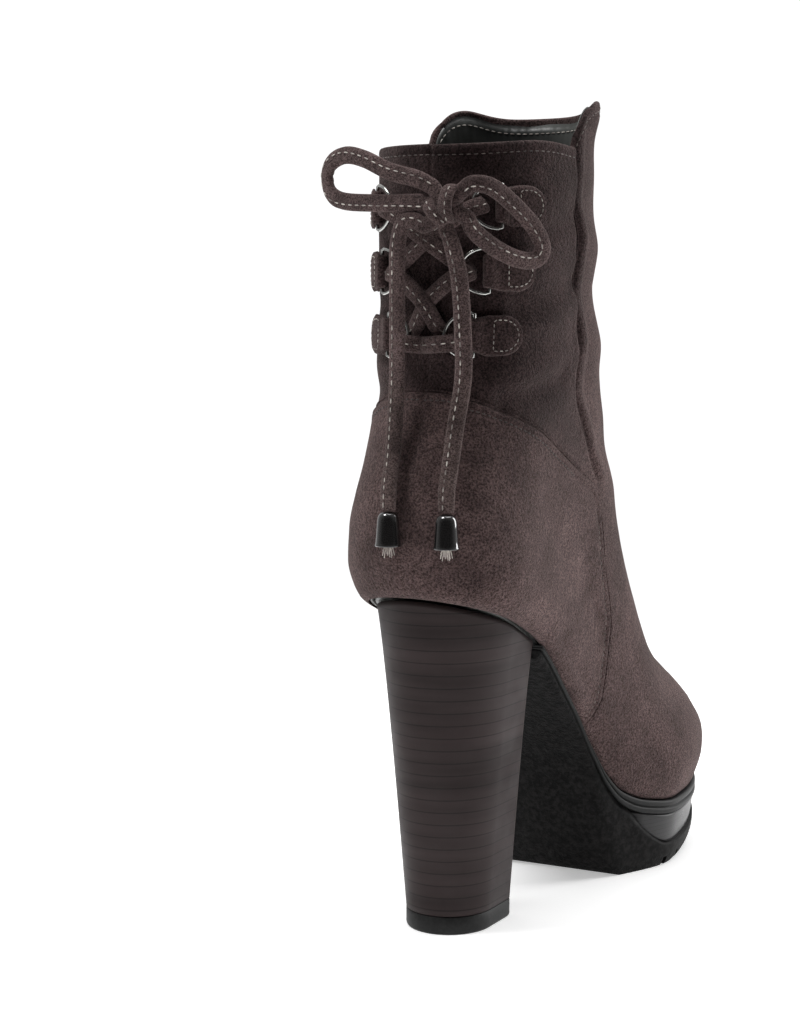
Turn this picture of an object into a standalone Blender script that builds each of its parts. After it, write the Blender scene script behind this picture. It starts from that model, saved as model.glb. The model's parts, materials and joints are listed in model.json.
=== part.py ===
"""Right-foot platform ankle boot with a tall block heel, laced up the back of the shaft, with a zip on the inner side.

Frame: metres, +X to the outer (lateral) side, +Y to the toe, +Z up. The origin is on the floor under the heel.
"""

import functools
import math

import bmesh
import bpy
import numpy as np

MM = 0.001
LATERAL = 1
MEDIAL = -1
SIDES = {"lateral": LATERAL, "medial": MEDIAL}

# Foot and shaft sizes
COUNTER_BACK = 37 * MM  # the rearmost point of the upper, behind the heel's centre
SHOE_LENGTH = 225 * MM  # level length from the counter to the toe tip
BALL_WIDTH = 90 * MM
BALL_TO_TOE = 78 * MM
COUNTER_WIDTH = 66 * MM
TOE_SWING = 5 * MM  # how far the toe tip lies to the inner side
SEAT_HEIGHT = 123.5 * MM  # floor to the upper's lower edge at the back of the heel
PLATFORM_HEIGHT = 26.6 * MM  # floor to the upper's lower edge under the ball
TOE_SPRING = 3.5 * MM  # how far the upper's lower edge rises at the toe
TREAD_SPRING = 12 * MM  # how far the tread rises at the toe
COLLAR_WIDTH = 72 * MM
COLLAR_DEPTH = 89 * MM
COLLAR_BACK = 17 * MM  # the shaft's back line, behind the heel's centre
BACK_RIM_HEIGHT = 276 * MM
FRONT_PEAK_HEIGHT = 294 * MM
FRONT_DIP = 4.5 * MM  # how far the rim drops from its two peaks to the middle of the front
RIM_CORNER = 18 * MM  # how far forward of the side seam the front panel reaches its peak
TUBE_TOP = FRONT_PEAK_HEIGHT + 6 * MM  # the shaft's surface is drawn to here and ends at the rim below
WALL = 2.2 * MM
GAP = 0.3 * MM

# Sole sizes
BREAST = 18 * MM  # the heel's front face, ahead of the heel's centre
OUTSOLE_EDGE = 3.2 * MM  # rubber under the shank
WELT_EDGE = 5.4 * MM
WELT_SHANK_EDGE = 1.6 * MM
WELT_PROUD = 1.0 * MM
TREAD_HEIGHT = 8.5 * MM
TREAD_INSET = 2.4 * MM
LUG_WIDTH = 2.4 * MM
LUG_HEIGHT = 3.4 * MM
LUG_REACH = 5.5 * MM
LUG_COUNT = 9
INSOLE_THICKNESS = 2.4 * MM

# Where the sole's forms start and reach their full size, as shares of the shoe's length behind the toe tip
WELT_START = 0.42
WELT_FULL = 0.56
TREAD_START = 0.455
TREAD_FULL = 0.54
DISH_START = 0.545
DISH_FULL = 0.66
PLATFORM_START = 0.57
LUG_START = 0.62
TREAD_SPRING_START = 0.62
TOE_SPRING_START = 0.78

# Heel sizes: a D in plan, round at the back and flat at the front
HEEL_TOP_WIDTH = 50 * MM
HEEL_TOP_BACK = 31 * MM
HEEL_FOOT_WIDTH = 31.5 * MM
HEEL_FOOT_BACK = 17 * MM
HEEL_FOOT_FRONT = 19 * MM
HEEL_CORNER = 3.5 * MM
LIFT_THICKNESS = 6.5 * MM

# Trim sizes
PANEL_THICKNESS = 1.0 * MM
PANEL_EDGE = 3 * MM  # how soon the quarter panel reaches its thickness from its edge
TAB_HEIGHT = 14 * MM
TAB_SHEET = 1.1 * MM
TAB_FOLD_SHARE = 0.82  # a tab's height at its fold, as a share of its full height
TAB_REACH = 16.5 * MM  # round the shaft from a ring's straight bar to its tab's round end
RING_HEIGHT = 17 * MM
RING_DEPTH = 9.5 * MM
RING_WIRE = 1.6 * MM
RING_LEVELS = {"low": 211.5 * MM, "mid": 233.5 * MM, "top": 255.5 * MM}
RING_BARS = {"low": 16 * MM, "mid": 20.5 * MM, "top": 24.5 * MM}  # round the shaft from the middle of its back
LACE = 5.0 * MM
LACE_DROP = 3.2 * MM  # how far the lowest bar lies under the middle of its rings
BELL_HEIGHT = 12 * MM
BELL_RADIUS = 4.6 * MM
ZIP_TAPE = 9 * MM
ZIP_TEETH = 4.2 * MM
ZIP_TAPE_THICKNESS = 0.7 * MM
ZIP_TEETH_THICKNESS = 1.5 * MM
ZIP_DROP = 4 * MM  # from the back rim down to the tape's top
SLIDER_LENGTH = 9 * MM
SLIDER_WIDTH = 7.5 * MM
SLIDER_THICKNESS = 2.6 * MM
SLIDER_DROP = 1 * MM  # from the tape's top down to the slider, and from the slider to the teeth
PULL_LENGTH = 27 * MM
PULL_WIDTH = 6 * MM
PULL_THICKNESS = 1.4 * MM
PULL_PIN = 1.2 * MM
PULL_KNUCKLE = 3.2 * MM
PULL_EYE_WIDTH = 3.6 * MM
PULL_RISE = 0.18  # the pin's height over the slider's middle, as a share of the slider's length
EAR_THICKNESS = 1.0 * MM

# The sole's side profile. run: share of the shoe's length behind the toe tip. drop: share of the height between the
# seat and the ball that the upper's lower edge has lost there.
SOLE_PROFILE = [
    # run, drop
    (0.00, 0.00),
    (0.16, 0.135),
    (0.244, 0.232),
    (0.29, 0.315),
    (0.345, 0.43),
    (0.415, 0.585),
    (0.465, 0.73),
    (0.50, 0.845),
    (0.535, 0.925),
    (0.585, 0.975),
    (0.66, 1.00),
    (0.80, 1.00),
    (1.00, 1.00),
]

# The upper's sections are loops round the boot, from the sole's edge to above the rim. Each row is one loop.
# rise: share of the height of the back line. back: share of the way forward from the counter to the shaft's back.
# crown: share of the height of the front line. reach: share of the way forward from the shaft's front to the toe tip.
# heel, waist: half widths as shares of half the counter width. ball: of half the ball width.
# shaft: 0 takes those widths, 1 takes the collar's ellipse. heel_nose: length of the rounded back end, a share of
# half the counter width. toe_nose: of the rounded front end, a share of the length from ball to toe.
# dip: share of the sole's side profile that the loop follows.
LOOP_COLUMNS = "rise back crown reach heel waist ball shaft heel_nose toe_nose dip".split()
LOOPS = [
    (0.000, 0.22, 0.000, 0.97, 0.81, 0.76, 0.975, 0.00, 0.92, 0.98, 1.00),
    (0.042, 0.09, 0.030, 1.00, 0.93, 0.86, 1.000, 0.00, 0.98, 1.00, 0.94),
    (0.090, 0.00, 0.062, 1.00, 0.99, 0.91, 0.990, 0.00, 1.03, 1.00, 0.86),
    (0.150, 0.03, 0.100, 0.95, 1.00, 0.93, 0.930, 0.00, 1.06, 0.98, 0.74),
    (0.215, 0.20, 0.140, 0.83, 0.98, 0.94, 0.860, 0.02, 1.08, 0.92, 0.60),
    (0.280, 0.45, 0.180, 0.63, 0.96, 0.95, 0.800, 0.08, 1.10, 0.84, 0.46),
    (0.350, 0.71, 0.250, 0.44, 0.95, 0.96, 0.760, 0.18, 1.12, 0.76, 0.30),
    (0.430, 0.90, 0.360, 0.27, 0.95, 0.97, 0.730, 0.34, 1.16, 0.70, 0.15),
    (0.520, 0.98, 0.490, 0.13, 0.96, 0.98, 0.730, 0.58, 1.22, 0.66, 0.05),
    (0.640, 1.02, 0.630, 0.04, 0.98, 1.00, 0.750, 0.82, 1.30, 0.62, 0.00),
    (0.790, 1.02, 0.780, 0.00, 1.00, 1.00, 0.780, 0.95, 1.36, 0.60, 0.00),
    (1.000, 1.00, 1.000, 0.00, 1.00, 1.00, 0.800, 1.00, 1.40, 0.60, 0.00),
]
STATIONS = (0.0, 0.16, 0.42, 0.68, 1.0)  # where along a loop the heel, waist and ball widths stand
NOSE_POWER = 2.15

# The seams, as shares: down is the share of the back rim's height over the floor, ahead of the shoe's length ahead of
# the heel's centre.
LATERAL_SEAM = [
    # down, ahead
    (1.00, 0.113),
    (0.81, 0.122),
    (0.71, 0.132),
    (0.61, 0.194),
    (0.575, 0.223),
    (0.46, 0.262),
    (0.345, 0.296),
    (0.27, 0.288),
    (0.225, 0.266),
    (0.17, 0.240),
]
MEDIAL_SEAM = [
    # down, ahead
    (1.00, 0.186),
    (0.95, 0.187),
    (0.78, 0.198),
    (0.68, 0.213),
    (0.53, 0.242),
    (0.46, 0.268),
    (0.37, 0.292),
    (0.33, 0.275),
    (0.28, 0.247),
    (0.20, 0.222),
]
ARC_SEAM = [
    # ahead, down: the top edge of the quarter panel, from the back to the side seam
    (-0.09, 0.698),
    (-0.075, 0.687),
    (0.022, 0.646),
    (0.09, 0.616),
    (0.158, 0.589),
    (0.22, 0.571),
    (0.30, 0.548),
]
ZIP_FOOT = 0.30  # the zip's lower end, a share of the back rim's height

# The bow and the hanging ends, in millimetres: points chosen by hand from the photo, and how many the tube gets
KNOT_CENTRE = (13 * MM, -30.4 * MM, 255 * MM)
KNOT_RADII = (7 * MM, 5.2 * MM, 6.5 * MM)
LACE_ROUTES = {
    "bow_loop_medial": (
        [
            (8.3, -30.4, 261.2),
            (3.0, -31.0, 264.0),
            (-8.0, -31.2, 267.0),
            (-18.0, -30.2, 271.3),
            (-26.5, -28.0, 273.0),
            (-33.5, -25.5, 271.0),
            (-36.8, -23.5, 266.5),
            (-35.0, -24.0, 260.5),
            (-28.5, -26.0, 257.5),
            (-14.0, -29.3, 256.5),
            (-3.0, -30.4, 256.2),
            (5.0, -30.4, 255.8),
        ],
        30,
    ),
    "bow_loop_lateral": (
        [
            (18.9, -30.2, 260.0),
            (22.0, -28.8, 262.2),
            (26.5, -24.5, 261.5),
            (30.0, -17.0, 257.0),
            (34.0, -8.0, 249.5),
            (36.0, -3.2, 242.0),
            (34.4, -4.6, 237.5),
            (30.8, -11.5, 237.5),
            (25.5, -19.0, 241.3),
            (21.5, -25.5, 246.5),
            (19.8, -28.3, 251.2),
        ],
        28,
    ),
    "lace_end_medial": (
        [
            (5.4, -31.4, 248.6),
            (1.2, -31.2, 250.4),
            (-3.2, -30.5, 249.2),
            (-5.6, -29.8, 242.0),
            (-6.0, -29.4, 230.0),
            (-6.0, -29.4, 211.0),
            (-6.0, -29.8, 194.0),
            (-5.4, -33.4, 173.0),
            (-3.6, -39.4, 163.0),
            (-2.6, -42.0, 157.2),
            (-2.6, -42.1, 153.6),
        ],
        26,
    ),
    "lace_end_lateral": (
        [
            (13.5, -30.8, 247.2),
            (15.4, -30.4, 242.0),
            (17.6, -29.4, 231.0),
            (18.6, -28.8, 215.0),
            (18.9, -28.8, 198.0),
            (17.2, -30.8, 182.0),
            (16.6, -33.9, 168.0),
            (17.4, -37.7, 161.0),
            (17.8, -38.8, 156.8),
            (17.8, -38.9, 153.4),
        ],
        24,
    ),
}

COLUMN_COUNT = 29  # points from the middle of the back to the middle of the front, on each side
ROW_COUNT = 23
DENSE_COUNT = 241  # points read along a loop before it is cut into even steps
SLICE_COUNT = 40  # level sections of the shaft


def clear_scene():
    for obj in list(bpy.data.objects):
        bpy.data.objects.remove(obj, do_unlink=True)


def eased(xs, ys, x):
    """A smooth curve through a table that never overshoots its values."""
    xs, ys = np.asarray(xs, float), np.asarray(ys, float)
    step = np.diff(xs)
    slope = np.diff(ys) / step
    grade = np.zeros(len(xs))
    grade[0], grade[-1] = slope[0], slope[-1]
    same = slope[:-1] * slope[1:] > 0
    inner = np.zeros(len(same))
    inner[same] = 2 / (1 / slope[:-1][same] + 1 / slope[1:][same])
    grade[1:-1] = inner
    x = np.clip(x, xs[0], xs[-1])
    i = np.clip(np.searchsorted(xs, x, side="right") - 1, 0, len(step) - 1)
    t = (x - xs[i]) / step[i]
    rest = 1 - t
    return (
        ys[i] * (1 + 2 * t) * rest**2
        + grade[i] * step[i] * t * rest**2
        + ys[i + 1] * t**2 * (3 - 2 * t)
        - grade[i + 1] * step[i] * t**2 * rest
    )


def table_curve(table, x):
    """A two-column table read as a smooth curve, with its first column ascending or descending."""
    rows = sorted(table)
    return eased([r[0] for r in rows], [r[1] for r in rows], x)


def sole_height(y):
    """Height of the upper's lower edge, from the seat down the shank to the platform and up the toe spring."""
    run = (np.asarray(y) + COUNTER_BACK) / SHOE_LENGTH
    drop = table_curve(SOLE_PROFILE, run)
    spring = TOE_SPRING * np.clip((run - TOE_SPRING_START) / (1 - TOE_SPRING_START), 0, 1) ** 2
    return SEAT_HEIGHT - (SEAT_HEIGHT - PLATFORM_HEIGHT) * drop + spring


def loop_row(v):
    """The loop table's columns at v, from 0 at the sole's edge to 1 at the top."""
    at = np.linspace(0, 1, len(LOOPS))
    return {name: eased(at, [row[i] for row in LOOPS], v) for i, name in enumerate(LOOP_COLUMNS)}


def nose(distance, length):
    share = 1 - np.clip(distance / length, 0, 1)
    return np.clip(1 - share**NOSE_POWER, 0, 1) ** (1 / NOSE_POWER)


def loop(t, v):
    """Half width, y, z and sideways swing of loop v, where t runs from its back (0) to its front (1)."""
    row = loop_row(v)
    shaft_front = COLLAR_DEPTH - COLLAR_BACK
    toe_tip = SHOE_LENGTH - COUNTER_BACK
    back_y = -COUNTER_BACK + (COUNTER_BACK - COLLAR_BACK) * row["back"]
    front_y = shaft_front + (toe_tip - shaft_front) * row["reach"]
    front_foot = PLATFORM_HEIGHT + TOE_SPRING
    back_z = SEAT_HEIGHT + (TUBE_TOP - SEAT_HEIGHT) * row["rise"]
    front_z = front_foot + (TUBE_TOP - front_foot) * row["crown"]
    y = back_y + (front_y - back_y) * t
    first_back = -COUNTER_BACK + (COUNTER_BACK - COLLAR_BACK) * LOOPS[0][1]
    first_front = shaft_front + (toe_tip - shaft_front) * LOOPS[0][3]
    sole_y = first_back + (first_front - first_back) * t
    sag = sole_height(sole_y) - (SEAT_HEIGHT + (front_foot - SEAT_HEIGHT) * t)
    z = back_z + (front_z - back_z) * t + sag * row["dip"]
    shaft = row["shaft"]
    narrow = 1 - shaft
    heel = COUNTER_WIDTH / 2 * row["heel"] * narrow + COLLAR_WIDTH / 2 * shaft
    waist = COUNTER_WIDTH / 2 * row["waist"] * narrow + COLLAR_WIDTH / 2 * shaft
    ball = BALL_WIDTH / 2 * row["ball"] * narrow + COLLAR_WIDTH / 2 * shaft
    width = eased(STATIONS, (heel, heel, waist, ball, ball), t)
    length = np.hypot(front_y - back_y, front_z - back_z)
    heel_nose = COUNTER_WIDTH / 2 * row["heel_nose"] * narrow + COLLAR_DEPTH / 2 * shaft
    toe_nose = BALL_TO_TOE * row["toe_nose"] * narrow + COLLAR_DEPTH / 2 * shaft
    width = width * nose(t * length, heel_nose) * nose((1 - t) * length, toe_nose)
    swing = -TOE_SWING * narrow * np.clip((y - BREAST) / (toe_tip - BREAST), 0, 1) ** 2
    return width, y, z, swing


def surface(side, t, v):
    """A point of the upper's outer face."""
    width, y, z, swing = loop(t, v)
    return np.stack([swing + side * width, y, z], axis=-1)


def line_lengths(points):
    steps = np.linalg.norm(np.diff(points, axis=0), axis=1)
    return np.concatenate([[0], np.cumsum(steps)])


def resample(points, shares):
    """Points at the given shares of a polyline's length."""
    along = line_lengths(points)
    wanted = np.asarray(shares) * along[-1]
    return np.stack([np.interp(wanted, along, points[:, k]) for k in range(3)], axis=-1)


def even_steps(v, count):
    """Values of t that stand at even distances along loop v, the same on both sides."""
    t = (1 - np.cos(np.linspace(0, math.pi, DENSE_COUNT))) / 2
    width, y, z, _ = loop(t, v)
    along = line_lengths(np.stack([width, y, z], axis=-1))
    return np.interp(np.linspace(0, along[-1], count), along, t)


def rim_height(side, y):
    """Height of the rim over a point of the shaft: level round the back, then up a round corner to the front panel."""
    seam = LATERAL_SEAM if side == LATERAL else MEDIAL_SEAM
    start = table_curve(seam, 1.0) * SHOE_LENGTH
    climb = np.clip((y - start) / RIM_CORNER, 0, 1)
    corner = np.sqrt(1 - (1 - climb) ** 2)
    front = COLLAR_DEPTH - COLLAR_BACK
    fall = np.clip((y - start - RIM_CORNER) / (front - start - RIM_CORNER), 0, 1)
    dip = FRONT_DIP * (3 * fall**2 - 2 * fall**3)
    return BACK_RIM_HEIGHT + (FRONT_PEAK_HEIGHT - BACK_RIM_HEIGHT) * corner - dip


def side_sheet(side, columns, rows):
    """A grid of the upper's outer face on one side, [column from back to front][row from sole to rim]."""
    levels = np.linspace(0, 1, 4 * rows)
    loops = np.stack([surface(side, even_steps(v, columns), v) for v in levels])
    grid = np.zeros((columns, rows, 3))
    for i in range(columns):
        line = loops[:, i]
        top = rim_height(side, line[:, 1])
        over = np.nonzero(line[:, 2] > top)[0][0]
        below, above = line[over - 1], line[over]
        gap_below = top[over - 1] - below[2]
        gap_above = above[2] - top[over]
        rim = below + (above - below) * gap_below / (gap_below + gap_above)
        grid[i] = resample(np.vstack([line[:over], rim]), np.linspace(0, 1, rows))
    return grid


def solve_side(side, y, z):
    """The (t, v) of the upper's outer face at a height and a distance ahead, by Newton's method."""
    t, v = 0.45, 0.5
    small = 1e-4
    for _ in range(40):
        here = surface(side, np.array([t]), v)[0]
        ahead = surface(side, np.array([t + small]), v)[0]
        above = surface(side, np.array([t]), v + small)[0]
        slopes = np.array([[ahead[1] - here[1], above[1] - here[1]], [ahead[2] - here[2], above[2] - here[2]]]) / small
        move = np.linalg.solve(slopes, [y - here[1], z - here[2]])
        t = float(np.clip(t + np.clip(move[0], -0.15, 0.15), 0.02, 0.98))
        v = float(np.clip(v + np.clip(move[1], -0.15, 0.15), 0.0, 0.998))
    return t, v


def on_side(side, y, z, lift=0.0):
    """A point on the boot's side, and the outward normal there."""
    t, v = solve_side(side, y, z)
    small = 1e-4
    here = surface(side, np.array([t]), v)[0]
    ahead = surface(side, np.array([t + small]), v)[0] - here
    above = surface(side, np.array([t]), v + small)[0] - here
    normal = np.cross(ahead, above) * side
    normal /= np.linalg.norm(normal)
    return here + normal * lift, normal


def shaft_slices():
    """For each side, the shaft's level sections from the middle of the back forward, for reading by height."""
    heights = np.linspace(min(RING_LEVELS.values()) - TAB_HEIGHT, BACK_RIM_HEIGHT, SLICE_COUNT)
    levels = np.linspace(0.3, 1, 4 * SLICE_COUNT)
    slices = {}
    for side in SIDES.values():
        t = (1 - np.cos(np.linspace(0, math.pi * 0.62, 3 * SLICE_COUNT))) / 2
        lines = np.stack([surface(side, t, v) for v in levels])
        rings = np.zeros((len(heights), len(t), 3))
        for i in range(len(t)):
            for k in range(3):
                rings[:, i, k] = np.interp(heights, lines[:, i, 2], lines[:, i, k])
        slices[side] = (heights, rings)
    return slices


def on_back(slices, side, arc, z, lift=0.0):
    """A point a distance round the shaft from the middle of its back, at a height, lifted off the surface."""
    heights, rings = slices[side]

    def at(distance, height):
        place = np.clip((height - heights[0]) / (heights[1] - heights[0]), 0, len(heights) - 1.001)
        low = int(place)
        ring = rings[low] * (1 - place + low) + rings[low + 1] * (place - low)
        along = line_lengths(ring)
        return np.array([np.interp(abs(distance), along, ring[:, k]) for k in range(3)])

    small = 0.5 * MM
    here = at(arc, z)
    if abs(arc) < small:
        return here + np.array([0, -lift, 0])
    round_way = at(arc + small, z) - here
    up_way = at(arc, z + small) - here
    normal = np.cross(round_way, up_way) * side
    return here + normal / np.linalg.norm(normal) * lift


def material(name, color, roughness, metallic=0.0):
    made = bpy.data.materials.new(name)
    made.use_nodes = True
    shader = made.node_tree.nodes["Principled BSDF"]
    shader.inputs["Base Color"].default_value = (*color, 1)
    shader.inputs["Roughness"].default_value = roughness
    shader.inputs["Metallic"].default_value = metallic
    return made


def add_mesh(name, verts, faces, finish, collection):
    mesh = bpy.data.meshes.new(name)
    mesh.from_pydata([tuple(p) for p in verts], [], faces)
    mesh.validate()
    mesh.materials.append(finish)
    mesh.shade_smooth()
    obj = bpy.data.objects.new(name, mesh)
    collection.objects.link(obj)
    return obj


def weld_and_face_out(obj):
    """Merges doubled points of a closed mesh and turns its faces outward."""
    work = bmesh.new()
    work.from_mesh(obj.data)
    bmesh.ops.remove_doubles(work, verts=work.verts, dist=0.01 * MM)
    bmesh.ops.dissolve_degenerate(work, edges=work.edges, dist=0.001 * MM)
    bmesh.ops.recalc_face_normals(work, faces=work.faces)
    work.to_mesh(obj.data)
    work.free()
    return obj


def grid_faces(columns, rows, closed=False, flip=False):
    faces = []
    for i in range(columns if closed else columns - 1):
        for j in range(rows - 1):
            a, b = i * rows + j, (i + 1) % columns * rows + j
            face = (a, b, b + 1, a + 1)
            faces.append(face[::-1] if flip else face)
    return faces


def add_sheet(name, grid, thickness, finish, collection, closed=False, flip=False, offset=1.0):
    """An open grid made solid by Solidify, outward with offset 1 and inward with -1."""
    columns, rows = grid.shape[:2]
    faces = grid_faces(columns, rows, closed, flip)
    obj = add_mesh(name, grid.reshape(-1, 3), faces, finish, collection)
    solidify = obj.modifiers.new("wall", "SOLIDIFY")
    solidify.thickness = thickness
    solidify.offset = offset
    solidify.use_even_offset = True
    return obj


def add_rings(name, rings, finish, collection):
    """A closed solid lofted through rings that are ladders: first half one side back to front, second half back."""
    count = len(rings[0])
    verts = np.concatenate(rings)
    faces = []
    for k in range(len(rings) - 1):
        for i in range(count):
            a, b = k * count + i, k * count + (i + 1) % count
            faces.append((a, b, b + count, a + count))
    top = (len(rings) - 1) * count
    for i in range(count // 2 - 1):
        far = count - 1 - i
        faces.append((i, i + 1, far - 1, far))
        faces.append((top + far, top + far - 1, top + i + 1, top + i))
    return weld_and_face_out(add_mesh(name, verts, faces, finish, collection))


def add_tube(name, points, diameter, finish, collection, cyclic=False, resolution=2):
    curve = bpy.data.curves.new(name, "CURVE")
    curve.dimensions = "3D"
    spline = curve.splines.new("POLY")
    spline.points.add(len(points) - 1)
    for point, place in zip(spline.points, points):
        point.co = (*place, 1)
    spline.use_cyclic_u = cyclic
    curve.bevel_depth = diameter / 2
    curve.bevel_resolution = resolution
    curve.use_fill_caps = True
    curve.materials.append(finish)
    obj = bpy.data.objects.new(name, curve)
    collection.objects.link(obj)
    return obj


def to_mesh_object(obj):
    """A curve's closed mesh as a new object, so that a Boolean can use it."""
    graph = bpy.context.evaluated_depsgraph_get()
    mesh = bpy.data.meshes.new_from_object(obj.evaluated_get(graph))
    name, matrix, collection = obj.name, obj.matrix_world.copy(), obj.users_collection[0]
    bpy.data.objects.remove(obj, do_unlink=True)
    made = bpy.data.objects.new(name, mesh)
    made.matrix_world = matrix
    collection.objects.link(made)
    return weld_and_face_out(made)


def smooth_route(points, count):
    """A Catmull-Rom curve through a route's points, read at even distances."""
    p = np.array(points, float)
    ends = np.vstack([2 * p[0] - p[1], p, 2 * p[-1] - p[-2]])
    dense = []
    for k in range(len(p) - 1):
        a, b, c, d = ends[k : k + 4]
        for s in np.linspace(0, 1, 24, endpoint=k == len(p) - 2):
            dense.append(
                0.5 * (2 * b + (c - a) * s + (2 * a - 5 * b + 4 * c - d) * s**2 + (3 * b - a - 3 * c + d) * s**3)
            )
    return resample(np.array(dense), np.linspace(0, 1, count))


@functools.cache
def edge_line(side):
    """The lower edge of the upper on one side, from its back to the toe tip."""
    return surface(side, even_steps(0.0, COLUMN_COUNT), 0.0)


def cut_behind(line, start, first):
    """A line from where it passes y = start, keeping its points from the first one ahead of there."""
    behind, ahead = line[first - 1], line[first]
    share = (start - behind[1]) / (ahead[1] - behind[1])
    return np.vstack([behind + (ahead - behind) * share, line[first:]])


def outline_ring(offset, height, start=None):
    """The upper's lower edge moved outward by offset and set to height(y), whole or ahead of y = start."""
    halves = []
    for side in (LATERAL, MEDIAL):
        edge = edge_line(side)
        way = np.gradient(edge[:, :2], axis=0)
        normal = np.stack([way[:, 1], -way[:, 0]], axis=-1) * side
        normal /= np.linalg.norm(normal, axis=1, keepdims=True)
        normal[0], normal[-1] = (0, -1), (0, 1)
        line = np.column_stack([edge[:, :2] + normal * offset, height(edge[:, 1])])
        if start is not None:
            line = cut_behind(line, start, np.nonzero(edge[:, 1] > start + 1 * MM)[0][0])
        halves.append(line)
    return np.vstack([halves[0], halves[1][::-1]])


def welt_edge(y):
    """Thickness of the welt: thin along the shank, full round the forefoot."""
    run = (np.asarray(y) + COUNTER_BACK) / SHOE_LENGTH
    grow = np.clip((run - WELT_START) / (WELT_FULL - WELT_START), 0, 1)
    return WELT_SHANK_EDGE + (WELT_EDGE - WELT_SHANK_EDGE) * grow**2 * (3 - 2 * grow)


def welt_bottom(y):
    return sole_height(y) - GAP - welt_edge(y)


def floor_height(y):
    """The underside of the tread: flat on the floor, curling up to the toe."""
    run = (np.asarray(y) + COUNTER_BACK) / SHOE_LENGTH
    return TREAD_SPRING * np.clip((run - TREAD_SPRING_START) / (1 - TREAD_SPRING_START), 0, 1) ** 2


def outsole_bottom(y):
    """The underside of the outsole: parallel to the shank, then down to the floor at the back of the tread."""
    run = (np.asarray(y) + COUNTER_BACK) / SHOE_LENGTH
    shank = welt_bottom(y) - GAP - OUTSOLE_EDGE
    down = np.clip((run - TREAD_START) / (TREAD_FULL - TREAD_START), 0, 1)
    down = down**2 * (3 - 2 * down)
    return shank * (1 - down) + floor_height(y) * down


def outsole_top(y):
    """The top of the outsole: under the welt along the shank, then dished round the platform layer."""
    run = (np.asarray(y) + COUNTER_BACK) / SHOE_LENGTH
    dish = np.clip((run - DISH_START) / (DISH_FULL - DISH_START), 0, 1)
    dish = np.sin(dish * math.pi / 2) ** 1.2
    full = welt_bottom(y) - GAP
    return full * (1 - dish) + (TREAD_HEIGHT + floor_height(y)) * dish


def push_out(grid, lift, side):
    """Moves a grid off the surface that it was read from, along its own normals."""
    along = np.gradient(grid, axis=0)
    up = np.gradient(grid, axis=1)
    normal = np.cross(along, up) * side
    normal /= np.linalg.norm(normal, axis=2, keepdims=True)
    return grid + normal * np.asarray(lift)[..., None]


def quarter_step(side, grid):
    """How far the quarter panel stands over the shaft: full under the arc seam, nothing ahead of the side seam or at
    the lower edge, which the sole follows.
    """
    seam = LATERAL_SEAM if side == LATERAL else MEDIAL_SEAM
    y, z = grid[..., 1], grid[..., 2]
    under = table_curve(ARC_SEAM, y / SHOE_LENGTH) * BACK_RIM_HEIGHT - z
    behind = table_curve(seam, z / BACK_RIM_HEIGHT) * SHOE_LENGTH - y
    step = PANEL_THICKNESS * np.clip(np.minimum(under, behind) / PANEL_EDGE, 0, 1)
    step[:, 0] = 0
    return step


def make_upper(finish, collection):
    halves = []
    for side in (LATERAL, MEDIAL):
        sheet = side_sheet(side, COLUMN_COUNT, ROW_COUNT)
        halves.append(push_out(sheet, quarter_step(side, sheet), side))
    lateral, medial = halves
    middle_front = (lateral[-1] + medial[-1]) / 2
    middle_back = (lateral[0] + medial[0]) / 2
    grid = np.concatenate([[middle_back], lateral[1:-1], [middle_front], medial[-2:0:-1]])
    return add_sheet("upper", grid, WALL, finish, collection, closed=True, offset=-1)


def make_insole(finish, collection):
    inset = -(WALL + 2 * GAP)
    rings = [
        outline_ring(inset, lambda y: sole_height(y) + GAP),
        outline_ring(inset, lambda y: sole_height(y) + GAP + INSOLE_THICKNESS),
    ]
    return add_rings("insole", rings, finish, collection)


def make_welt(finish, collection):
    """The rand between upper and platform, with two ribs round the forefoot."""
    start = BREAST + GAP
    steps = [(0.2, 0.0), (1.0, 0.12), (1.0, 0.38), (0.35, 0.47), (0.35, 0.55), (1.0, 0.64), (1.0, 0.9), (0.2, 1.0)]
    rings = []
    for proud, share in steps:
        rings.append(
            outline_ring(
                WELT_PROUD * proud,
                lambda y, share=share: sole_height(y) - GAP - welt_edge(y) * (1 - share),
                start,
            )
        )
    return add_rings("welt", rings, finish, collection)


def make_platform(finish, collection):
    """The stacked layer that shows between the welt and the tread."""
    start = PLATFORM_START * SHOE_LENGTH - COUNTER_BACK

    def bottom(y):
        return np.minimum(outsole_top(y) + GAP, welt_bottom(y) - 2 * GAP)

    def top(y):
        return welt_bottom(y) - GAP

    def middle(y):
        return (bottom(y) + top(y)) / 2

    rings = [
        outline_ring(-TREAD_INSET / 2, bottom, start),
        outline_ring(-TREAD_INSET / 6, middle, start),
        outline_ring(0, top, start),
    ]
    return add_rings("platform", rings, finish, collection)


def make_outsole(finish, collection, helpers):
    """The rubber unit: a thin shank, a lugged tread, and an edge that climbs behind the platform layer."""
    start = BREAST + GAP
    rings = [
        outline_ring(-TREAD_INSET, outsole_bottom, start),
        outline_ring(-TREAD_INSET / 3, lambda y: outsole_bottom(y) * 0.7 + outsole_top(y) * 0.3, start),
        outline_ring(0, outsole_top, start),
    ]
    obj = add_rings("outsole", rings, finish, collection)
    cutter = lug_cutter(helpers)
    notch = obj.modifiers.new("lugs", "BOOLEAN")
    notch.operation = "DIFFERENCE"
    notch.object = cutter
    notch.solver = "EXACT"
    return obj


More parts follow.
